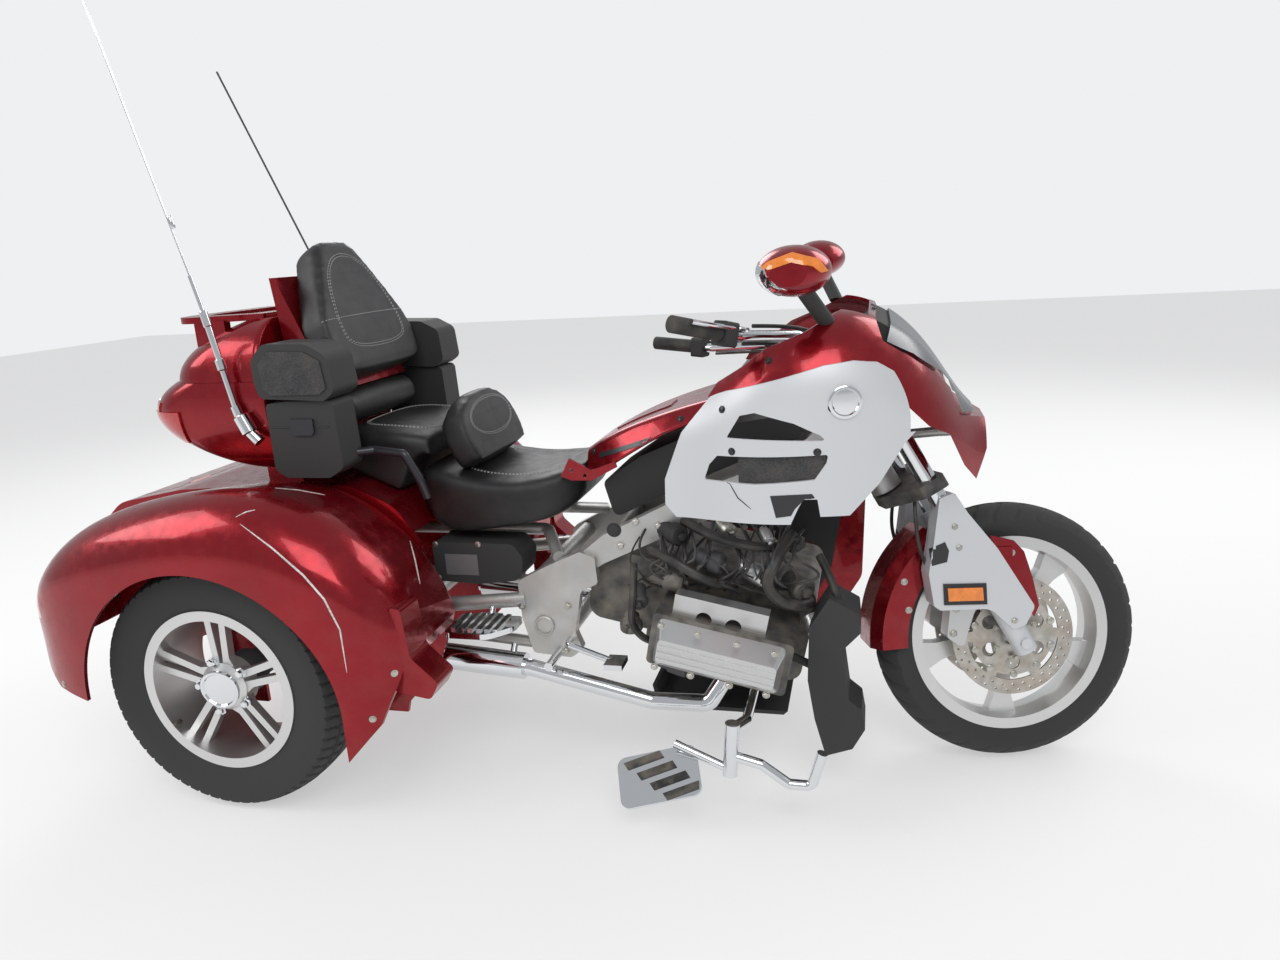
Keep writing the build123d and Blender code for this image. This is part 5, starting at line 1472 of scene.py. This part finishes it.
@dataclass
class Patch:
    """A thin panel, lens or badge that follows the surface under its outline."""

    name: str
    cast: Cast
    outline: Sequence[Pair]
    nodes: tuple[str, ...]
    finish: Finish
    slot: str
    lift: float = 0.002
    body: Body = Body.ROOT
    sides: tuple[Side, ...] = (Side.RIGHT,)
    step: float = 12.0
    jump: float = 0.05
    sink: float = 0.0008
    edge_share: float = 0.45

    def _flat(self) -> tuple[list[Vector], list[tuple[int, ...]]]:
        """Return the outline filled with a fine triangle net, in its own two numbers.

        Returns:
            The points, and the triangles as numbers of points.
        """
        edge = []
        for (a0, b0), (a1, b1) in zip(self.outline, [*self.outline[1:], self.outline[0]]):
            count = max(1, int(math.hypot(a1 - a0, b1 - b0) / self.step))
            edge += [Vector((a0 + (a1 - a0) * k / count, b0 + (b1 - b0) * k / count)) for k in range(count)]
        lows = [min(p[i] for p in edge) for i in range(2)]
        highs = [max(p[i] for p in edge) for i in range(2)]
        inner = []
        for column in range(1, int((highs[0] - lows[0]) / self.step) + 1):
            for row in range(1, int((highs[1] - lows[1]) / self.step) + 1):
                inner.append(Vector((lows[0] + column * self.step, lows[1] + row * self.step)))
        inner = [p for p in inner if min((p - q).length for q in edge) > self.step * self.edge_share]
        net = delaunay_2d_cdt(edge + inner, [], [list(range(len(edge)))], 1, 1e-4)
        return net[0], net[2]

    def build(self, view: PhotoView) -> None:
        """Lay the patch on each of its sides.

        Args:
            view: the view that pixels are read through.
        """
        reach = Reach(view, self.cast, self.nodes)
        spots, faces = self._flat()
        for side in self.sides:
            hits = [reach.hit(spot.x, spot.y, side) for spot in spots]
            kept = [f for f in faces if all(hits[v] for v in f) and self._together([hits[v][0] for v in f])]
            label = f"{self.name}_{side.name.lower()}"
            if not kept:
                log.warning("patch %s finds no surface", label)
                continue
            mesh = Workshop.mesh_of(lambda work, h=hits, k=kept: self._raise(work, h, k), label)
            Workshop.finish_piece(label, mesh, self.finish, self.body, self.slot)

    def _together(self, corners: Sequence[Vector]) -> bool:
        """Tell whether a triangle's corners lie on one stretch of surface."""
        return max((corners[i] - corners[i - 1]).length for i in range(3)) < self.jump

    def _raise(self, work: bmesh.types.BMesh, hits: list[Find | None], faces: list[tuple[int, ...]]) -> None:
        """Add the patch as a closed skin over the surface.

        Args:
            work: the mesh in hand.
            hits: the find under each point.
            faces: the triangles.
        """
        tops, lows, edges = {}, {}, {}
        for face in faces:
            for vertex in face:
                if vertex not in tops:
                    spot, normal = hits[vertex]
                    tops[vertex] = work.verts.new(spot + normal * self.lift)
                    lows[vertex] = work.verts.new(spot - normal * self.sink)
            work.faces.new([tops[v] for v in face])
            work.faces.new([lows[v] for v in reversed(face)])
            for a, b in zip(face, (*face[1:], face[0])):
                edges[(a, b)] = edges.get((a, b), 0) + 1
        for a, b in edges:
            if (b, a) not in edges:
                work.faces.new((tops[a], lows[a], lows[b], tops[b]))


@dataclass
class Fittings:
    """A group of like turned fittings seated on a surface: bolts, badges, rings or dials."""

    name: str
    cast: Cast
    spots: Sequence[Pair]
    nodes: tuple[str, ...]
    profile: Sequence[Pair]
    finish: Finish
    slot: str
    body: Body = Body.ROOT
    sides: tuple[Side, ...] = (Side.RIGHT, Side.LEFT)
    facets: int = 24
    sink: float = 0.001

    def build(self, view: PhotoView) -> None:
        """Seat every fitting and join them into one piece.

        Args:
            view: the view that pixels are read through.
        """
        reach = Reach(view, self.cast, self.nodes)
        found = [reach.hit(a, b, side) for side in self.sides for a, b in self.spots]
        found = [item for item in found if item]
        if not found:
            log.warning("fittings %s find no surface", self.name)
            return

        def build(work: bmesh.types.BMesh) -> None:
            """Add each fitting along the surface's normal."""
            for spot, normal in found:
                Workshop.lathe(
                    work, self.profile, Workshop.stand(spot - normal * self.sink, normal), self.facets
                )

        Workshop.filled(self.name, build, self.finish, self.body, self.slot)


def head(radius: float, height: float) -> list[Pair]:
    """Return the profile of a flanged bolt head in metres."""
    return [
        (radius * 1.4, 0.0), (radius * 1.4, height * 0.35), (radius, height * 0.36),
        (radius, height * 0.85), (radius * 0.8, height)
    ]


def ring(radius: float, width: float, height: float) -> list[Pair]:
    """Return the profile of a dished badge with a raised rim, in metres.

    Args:
        radius: the badge's radius.
        width: the rim's width.
        height: the rim's height.

    Returns:
        Radius and height pairs.
    """
    return [
        (radius, 0.0), (radius, height * 0.8), (radius - width * 0.3, height), (radius - width * 0.7, height),
        (radius - width, height * 0.5), (radius * 0.5, height * 0.6), (radius * 0.05, height * 0.65),
    ]


BOTH = (Side.RIGHT, Side.LEFT)
FAIRING_NODES = ("upper_fairing", "side_cover_right", "side_cover_left", "side_grilles", "headlamp_lens")


@dataclass
class Trim:
    """Panels, lenses, lines and fittings on the bodywork."""

    view: PhotoView
    patches: tuple[Patch, ...] = (
        Patch(
            "speaker_panel", Cast.SIDE,
            [
                (112, 1022), (106, 1084), (136, 1114), (234, 1110), (274, 1088), (282, 1024), (262, 1008),
                (130, 1008)
            ],
            ("speaker_pods",), GRILLE_CLOTH, "black_plastic", 0.003, sides=BOTH, step=16
        ),
        Patch(
            "pocket_seam", Cast.SIDE, [(108, 926), (288, 926), (288, 930), (108, 930)], ("side_pockets",),
            GLOSS_BLACK, "gloss_black", 0.0015, sides=BOTH, step=20
        ),
        Patch(
            "pocket_latch", Cast.SIDE,
            [(170, 908), (222, 908), (228, 916), (228, 948), (164, 948), (164, 916)], ("side_pockets",),
            GLOSS_BLACK, "gloss_black", 0.006, sides=BOTH, step=14
        ),
        Patch(
            "box_lamp", Cast.REAR,
            [(-292, 900), (-190, 896), (-182, 906), (-182, 982), (-192, 992), (-296, 986)],
            ("top_box_tub",), LAMP_RED, "red_lens", 0.004, sides=BOTH, step=14
        ),
        Patch(
            "box_lamp_rear_strip", Cast.REAR, [(-176, 930), (176, 930), (176, 958), (-176, 958)],
            ("top_box_tub",), RED_SHELL, "red_paint", 0.003, step=22
        ),
        Patch(
            "bumper_strip", Cast.REAR, [(-520, 442), (520, 442), (520, 452), (-520, 452)],
            ("trike_body", "rear_fender_right", "rear_fender_left"), GLOSS_BLACK, "gloss_black", 0.0015,
            step=18
        ),
        Patch(
            "mirror_signal", Cast.SIDE,
            [
                (1334, 1252), (1350, 1262), (1393, 1276), (1440, 1262), (1456, 1240), (1444, 1238),
                (1430, 1250), (1392, 1260), (1350, 1248)
            ],
            ("mirror_housings",), AMBER, "red_lens", 0.003, sides=BOTH, step=7
        ),
        Patch(
            "mirror_glass", Cast.REAR,
            [
                (-500, 1226), (-490, 1250), (-450, 1262), (-410, 1262), (-378, 1248), (-368, 1226),
                (-378, 1204), (-420, 1196), (-470, 1200), (-492, 1210)
            ],
            ("mirror_housings",), MIRROR_GLASS, "chrome", 0.002, sides=BOTH, step=9
        ),
        Patch(
            "fuel_lid", Cast.TOP,
            [
                (905, -42), (912, -50), (1038, -50), (1048, -40), (1048, 40), (1038, 50), (912, 50),
                (905, 42)
            ],
            ("fuel_shelter",), CANDY_RED, "red_paint", 0.003, step=14
        ),
        Patch(
            "shelter_stripe", Cast.SIDE, [(880, 800), (1120, 884), (1120, 894), (880, 812)],
            ("fuel_shelter",), GLOSS_BLACK, "gloss_black", 0.0015, sides=BOTH, step=14
        ),
        Patch(
            "cowl_inner_face", Cast.SIDE,
            [(1070, 250), (1380, 250), (1420, 330), (1450, 500), (1470, 640), (1380, 700), (1060, 640)],
            ("lower_cowl_left",), BLACK_PLASTIC, "black_plastic", 0.0015, step=20
        ),
        Patch(
            "cover_opening", Cast.PHOTO, [(770, 496), (812, 494), (818, 502), (806, 514), (776, 518)],
            ("side_cover_right",), GLOSS_BLACK, "gloss_black", 0.0008, step=5
        ),
        Patch(
            "fork_vent", Cast.FORK_PHOTO, [(929, 549), (945, 542), (949, 551), (947, 562), (932, 566)],
            ("fork_covers",), BLACK_PLASTIC, "black_plastic", 0.001, Body.STEERING, BOTH, 4
        ),
        Patch(
            "reflector_frame", Cast.FORK_PHOTO, [(943, 584), (986, 583), (987, 604), (944, 605)],
            ("fork_covers",), GLOSS_BLACK, "gloss_black", 0.003, Body.STEERING, BOTH, 6
        ),
        Patch(
            "reflector", Cast.FORK_PHOTO, [(947, 588), (982, 587), (983, 600), (948, 601)],
            ("fork_covers",), AMBER, "red_lens", 0.006, Body.STEERING, BOTH, 6
        ),
        Patch(
            "case_label_place", Cast.SIDE, [(470, 510), (560, 510), (560, 566), (470, 566)], ("side_case",),
            GREY_TRIM, "gloss_black", 0.0012, sides=BOTH, step=16
        ),
        Patch(
            "screen_ledge", Cast.TOP,
            [
                (1390, -180), (1520, -130), (1556, 0), (1520, 130), (1390, 180), (1380, 150), (1490, 100),
                (1520, 0), (1490, -100), (1380, -150)
            ],
            ("upper_fairing",), GREY_TRIM, "black_plastic", 0.004, step=14
        ),
    )
    fittings: tuple[Fittings, ...] = (
        Fittings(
            "fairing_badge", Cast.PHOTO, [(845, 402)], FAIRING_NODES, ring(0.034, 0.008, 0.007), CHROME,
            "chrome", facets=40
        ),
        Fittings(
            "pivot_badge", Cast.PHOTO, [(545, 625)], ("frame", "side_case"), ring(0.026, 0.006, 0.008),
            SPAR_ALLOY, "cast_alloy", facets=36
        ),
        Fittings(
            "pivot_bolts", Cast.PHOTO, [(522, 606), (568, 606), (524, 648), (566, 650), (500, 632)],
            ("frame", "side_case"), head(0.008, 0.008), ZINC, "steel", facets=6
        ),
        Fittings(
            "spar_bolts", Cast.SIDE, [(905, 630), (945, 600), (985, 660), (1035, 700), (1040, 650)],
            ("frame",), head(0.008, 0.008), ZINC, "steel", facets=6
        ),
        Fittings(
            "spar_plugs", Cast.SIDE, [(930, 640), (1010, 680)], ("frame",), head(0.013, 0.005),
            BLACK_PLASTIC, "black_plastic"
        ),
        Fittings(
            "cover_screws", Cast.SIDE, [(1230, 960), (1460, 965), (1250, 872), (1430, 874), (1330, 1060)],
            ("side_cover_right", "side_cover_left", "upper_fairing"), head(0.006, 0.004), GLOSS_BLACK,
            "steel"
        ),
        Fittings(
            "shelter_screws", Cast.SIDE, [(860, 812), (1100, 905), (1000, 800)], ("fuel_shelter",),
            head(0.006, 0.004), GLOSS_BLACK, "steel"
        ),
        Fittings(
            "fender_screws", Cast.SIDE, [(440, 300), (490, 400), (-250, 360), (-400, 340)],
            ("rear_fender_right", "rear_fender_left"), head(0.006, 0.004), ZINC, "steel"
        ),
        Fittings(
            "box_key", Cast.REAR, [(0, 1000)], ("top_box_tub",), ring(0.014, 0.003, 0.006), CHROME,
            "chrome", sides=(Side.RIGHT,)
        ),
        Fittings(
            "hatch_key", Cast.REAR, [(0, 700)], ("trunk_hatch",), ring(0.014, 0.003, 0.006), CHROME,
            "chrome", Body.HATCH, (Side.RIGHT,)
        ),
        Fittings(
            "dial_rims", Cast.REAR, [(-62, 1062), (-150, 1050)], ("dash",), ring(0.044, 0.005, 0.010),
            CHROME, "chrome", facets=36
        ),
        Fittings(
            "dial_faces", Cast.REAR, [(-62, 1062), (-150, 1050)], ("dash",),
            [(0.040, 0.0), (0.040, 0.0085), (0.001, 0.009)], DIAL, "gloss_black", facets=36
        ),
        Fittings(
            "case_screws", Cast.SIDE, [(446, 500), (446, 592), (680, 500), (690, 580), (565, 594)],
            ("side_case",), head(0.006, 0.004), ZINC, "steel"
        ),
        Fittings(
            "cowl_screws", Cast.SIDE, [(1080, 300), (1350, 300), (1080, 480), (1350, 480)],
            ("lower_cowl_left",), head(0.006, 0.004), GLOSS_BLACK, "steel", sides=(Side.LEFT,)
        ),
        Fittings(
            "caliper_bolts", Cast.FORK, [(1705, 340), (1712, 400)], ("calipers",), head(0.0075, 0.007),
            ZINC, "steel", Body.STEERING, facets=6
        ),
        Fittings(
            "fork_cover_bolts", Cast.FORK, [(1700, 560), (1690, 610), (1830, 380)], ("fork_covers",),
            head(0.006, 0.005), ZINC, "steel", Body.STEERING, facets=6
        ),
        Fittings(
            "fender_front_bolts", Cast.FORK, [(1590, 470), (1600, 400), (1850, 530)], ("front_fender",),
            head(0.006, 0.004), ZINC, "steel", Body.STEERING
        ),
        Fittings(
            "hub_rings", Cast.SIDE, [(0, 320)], ("rear_rim_right", "rear_axle"), ring(0.050, 0.010, 0.007),
            CHROME, "chrome", Body.REAR_RIGHT, (Side.RIGHT,), 48
        ),
        Fittings(
            "hub_rings_left", Cast.SIDE, [(0, 320)], ("rear_rim_left", "rear_axle"),
            ring(0.050, 0.010, 0.007), CHROME, "chrome", Body.REAR_LEFT, (Side.LEFT,), 48
        ),
    )
    nut_count: int = 5
    nut_ring: float = 68.0
    board_ribs: int = 6
    board_rib_start: float = 545.0
    board_rib_pitch: float = 22.0
    board_rib_half: float = 5.0
    board_rib_reach: Pair = (-272.0, -364.0)
    pads: int = 4
    hanging_pad_pixel: Pair = (624.0, 764.0)
    hanging_pad_step: Pair = (13.0, 10.0)
    hanging_pad_corners: tuple[Pair, ...] = ((0.0, 0.0), (36.0, -13.0), (40.0, -7.0), (4.0, 6.0))
    left_pad_start: float = 1214.0
    left_pad_pitch: float = 38.0
    left_pad_length: float = 22.0
    left_pad_reach: Pair = (-450.0, -542.0)
    strip_low_x: float = -0.227
    strip_high_x: float = 0.071
    strip_half: float = 0.309
    strip_corner: float = 0.115
    strip_z: float = 1.029
    mast: tuple[Point, ...] = (
        (0.046, -0.33, 0.894), (0.005, -0.33, 0.983), (-0.037, -0.33, 1.198), (-0.086, -0.33, 1.436)
    )
    collars: tuple[tuple[int, float, float, float], ...] = (
        (0, 0.2, 0.020, 0.050), (1, 0.4, 0.012, 0.030), (1, 0.9, 0.010, 0.040), (2, 0.9, 0.006, 0.030)
    )

    def build(self) -> None:
        """Lay every panel and seat every fitting."""
        for item in (*self.patches, *self.fittings):
            item.build(self.view)
        self._wheel_bolts()
        self._board_pads()
        self._box_strip()
        self._antenna_collars()

    def _wheel_bolts(self) -> None:
        """Seat the rear wheels' nuts round their hubs."""
        for side, body, node in (
            (Side.RIGHT, Body.REAR_RIGHT, "rear_rim_right"), (Side.LEFT, Body.REAR_LEFT, "rear_rim_left")
        ):
            turns = [2 * math.pi * (k + 0.5) / self.nut_count for k in range(self.nut_count)]
            spots = [
                (self.nut_ring * math.cos(t), REAR_AXLE_Z * 1000 + self.nut_ring * math.sin(t))
                for t in turns
            ]
            Fittings(
                f"{node}_nuts", Cast.SIDE, spots, (node,), head(0.010, 0.018), CHROME, "chrome", body,
                (side,), 6
            ).build(self.view)

    def _board_pads(self) -> None:
        """Lay the ribbed rubber on the passenger boards and the hanging board."""
        near, far = self.board_rib_reach
        for number in range(self.board_ribs):
            x = self.board_rib_start + self.board_rib_pitch * number
            back, front = x - self.board_rib_half, x + self.board_rib_half
            Patch(
                f"board_rib_{number}", Cast.TOP, [(back, near), (front, near), (front, far), (back, far)],
                ("passenger_boards",), RUBBER, "rubber", 0.0012, sides=BOTH, step=30,
            ).build(self.view)
        near, far = self.left_pad_reach
        for number in range(self.pads):
            u = self.hanging_pad_pixel[0] + self.hanging_pad_step[0] * number
            v = self.hanging_pad_pixel[1] + self.hanging_pad_step[1] * number
            Patch(
                f"hanging_pad_{number}", Cast.PHOTO,
                [(u + du, v + dv) for du, dv in self.hanging_pad_corners],
                ("highway_board_right",), RUBBER, "rubber", 0.005, step=4,
            ).build(self.view)
            back = self.left_pad_start + self.left_pad_pitch * number
            front = back + self.left_pad_length
            Patch(
                f"left_pad_{number}", Cast.TOP, [(back, near), (front, near), (front, far), (back, far)],
                ("highway_board_left",), RUBBER, "rubber", 0.005, sides=(Side.LEFT,), step=20,
            ).build(self.view)

    def _box_strip(self) -> None:
        """Run the bright strip round the top box under its seam."""
        low, high = self.strip_low_x, self.strip_high_x
        outline = Workshop.rounded(high - low, 2 * self.strip_half, self.strip_corner, 8)
        points = [place((low + high) / 2 + x, y, self.strip_z) for x, y in outline]
        Workshop.tube("box_strip", [*points, points[0]], 0.0032, CHROME, Body.ROOT, "chrome")

    def _antenna_collars(self) -> None:
        """Fit the stepped collars on the right mast."""
        line = [place(*point) for point in self.mast]

        def build(work: bmesh.types.BMesh) -> None:
            """Add each collar along its stretch of the mast.

            Args:
                work: the mesh in hand.
            """
            for stretch, share, radius, length in self.collars:
                run = line[stretch + 1] - line[stretch]
                at = Workshop.stand(line[stretch] + run * share, run)
                Workshop.lathe(
                    work,
                    [
                        (radius * 0.8, 0.0), (radius, 0.003), (radius, length - 0.003),
                        (radius * 0.8, length)
                    ],
                    at, 28
                )

        Workshop.filled("antenna_collars", build, CHROME, Body.ROOT, "chrome")


@dataclass
class Controls:
    """Levers, cables and hoses on the steered front end, and the discs' buttons."""

    lines: tuple[tuple[str, tuple[Point, ...], float, Finish, str], ...] = (
        (
            "lever",
            ((1.205, 0.262, 1.076), (1.190, 0.300, 1.076), (1.140, 0.345, 1.080), (1.075, 0.392, 1.090)),
            0.0055, CHROME, "chrome"
        ),
        (
            "brake_line",
            (
                (1.215, 0.264, 1.084), (1.262, 0.244, 1.084), (1.325, 0.210, 1.080), (1.380, 0.150, 1.067),
                (1.398, 0.124, 1.054)
            ),
            0.0045, HOSE, "rubber"
        ),
        (
            "switch_wire",
            (
                (1.190, 0.276, 1.046), (1.250, 0.248, 1.046), (1.318, 0.206, 1.044), (1.376, 0.146, 1.034),
                (1.394, 0.122, 1.030)
            ),
            0.0035, RUBBER, "rubber"
        ),
        (
            "caliper_hose",
            (
                (1.620, 0.070, 0.700), (1.612, 0.100, 0.620), (1.620, 0.110, 0.540), (1.665, 0.100, 0.460),
                (1.700, 0.085, 0.420)
            ),
            0.0045, HOSE, "rubber"
        ),
    )
    button_count: int = 10
    button_ring: float = 0.098
    button_out: float = 0.0635

    def build(self) -> None:
        """Make the controls of both sides."""
        for side in BOTH:
            for name, points, radius, finish, slot in self.lines:
                label = f"{name}_{side.name.lower()}"
                path = [steered(x, side.value * y, z) for x, y, z in points]
                Workshop.tube(label, path, radius, finish, Body.STEERING, slot)
        self._disc_buttons()

    def _disc_buttons(self) -> None:
        """Seat the ring of buttons that float the discs."""
        centre = steered(WHEELBASE, 0.0, FRONT_AXLE_Z)
        axle = steered(WHEELBASE, 1.0, FRONT_AXLE_Z) - centre

        def build(work: bmesh.types.BMesh) -> None:
            """Add ten buttons on each disc.

            Args:
                work: the mesh in hand.
            """
            for sign in (-1, 1):
                at = Workshop.stand(centre, axle * sign)
                for spot in Workshop.round_places(at, self.button_count, self.button_ring, self.button_out):
                    Workshop.lathe(
                        work, [(0.009, 0.0), (0.009, 0.0055), (0.006, 0.007), (0.003, 0.007)],
                        Workshop.stand(spot, axle * sign), 18
                    )

        Workshop.filled("disc_buttons", build, ZINC, Body.FRONT_WHEEL, "steel")


FENDER_NODES = ("rear_fender_right", "trike_body", "trunk_hatch")
COVER_NODES = ("side_cover_right", "upper_fairing")


@dataclass
class SurfaceMarks:
    """Scratches and scuffs laid along pixels of the photograph."""

    view: PhotoView
    pixel_step: float = 3.0
    sink: float = 0.001
    longest_gap: float = 0.06
    marks: tuple[tuple[str, tuple[Pair, ...], float, tuple[str, ...], Finish, str], ...] = (
        (
            "fender_scratch", ((240, 524), (272, 548), (303, 575), (324, 599), (340, 630), (347, 673)),
            0.0045, FENDER_NODES, BARE_SCRAPE, "red_paint",
        ),
        (
            "fender_scratch_short", ((236, 517), (246, 512), (255, 510)), 0.003, FENDER_NODES, BARE_SCRAPE,
            "red_paint"
        ),
        ("fender_scuff", ((275, 488), (298, 490), (325, 495)), 0.006, FENDER_NODES, BARE_SCRAPE, "red_paint"),
        (
            "cover_crack", ((716, 476), (730, 484), (738, 498), (751, 509)), 0.0025, COVER_NODES,
            GLOSS_BLACK, "gloss_black"
        ),
        (
            "fender_scuff_front", ((410, 541), (415, 560), (420, 584)), 0.005, FENDER_NODES, BARE_SCRAPE,
            "red_paint"
        ),
    )

    def ribbon(
        self, name: str, pixels: Sequence[Pair], width: float, nodes: Sequence[str], finish: Finish,
        body: Body, slot: str, lift: float = 0.0006
    ) -> None:
        """Lay a thin strip on a surface along pixels of the photograph.

        Args:
            name: the strip's name.
            pixels: places along it in the photograph.
            width: its width in metres.
            nodes: the CAD nodes it may lie on.
            finish: its surface.
            body: the body it rides on.
            slot: the record's material slot.
            lift: how far it stands off the surface.
        """
        tree = surface_of(*nodes)
        spots = []
        for (u0, v0), (u1, v1) in zip(pixels, pixels[1:]):
            steps = max(2, int(math.hypot(u1 - u0, v1 - v0) / self.pixel_step))
            for step in range(steps + 1):
                hit = self.view.touch(u0 + (u1 - u0) * step / steps, v0 + (v1 - v0) * step / steps, tree)
                if hit and (not spots or (hit[0] - spots[-1][0]).length > 1e-4):
                    spots.append(hit)
        if len(spots) < 3:
            log.warning("mark %s finds no surface", name)
            return

        def build(work: bmesh.types.BMesh) -> None:
            """Add the strip's top, sides and underside.

            Args:
                work: the mesh in hand.
            """
            rows = []
            for number, (spot, normal) in enumerate(spots):
                before = spots[max(0, number - 1)][0]
                after = spots[min(len(spots) - 1, number + 1)][0]
                along = (after - before).normalized()
                side = along.cross(normal).normalized()
                taper = math.sin(math.pi * (number + 0.6) / (len(spots) + 0.2)) ** 0.5
                half = side * width / 2 * taper
                rows.append([
                    work.verts.new(spot + half - normal * self.sink),
                    work.verts.new(spot + half + normal * lift),
                    work.verts.new(spot - half + normal * lift),
                    work.verts.new(spot - half - normal * self.sink),
                ])
            for low, high in zip(rows, rows[1:]):
                if (low[0].co - high[0].co).length > self.longest_gap:
                    continue
                for item in range(4):
                    follow = (item + 1) % 4
                    work.faces.new((low[item], low[follow], high[follow], high[item]))
            work.faces.new(rows[0][::-1])
            work.faces.new(rows[-1])
            bmesh.ops.delete(work, geom=[v for v in work.verts if not v.link_faces], context="VERTS")

        Workshop.filled(name, build, finish, body, slot, smooth=False)

    def build(self) -> None:
        """Lay every mark."""
        for name, pixels, width, nodes, finish, slot in self.marks:
            self.ribbon(name, pixels, width, nodes, finish, Body.ROOT, slot)


def main() -> None:
    """Build the trike's looks in order."""
    logging.basicConfig(level=logging.INFO, format="%(message)s")
    view = PhotoView()
    view.create()
    Studio().build()
    CarriedNodes().dress()
    builders: list[tuple[str, Callable[[], None]]] = [
        ("wheels", Wheels().build),
        ("seating", Seating().build),
        ("engine", EngineDressing().build),
        ("trim", Trim(view).build),
        ("controls", Controls().build),
        ("marks", SurfaceMarks(view).build),
    ]
    for name, build in builders:
        build()
        log.info("built %s", name)


if __name__ == "__main__":
    main()
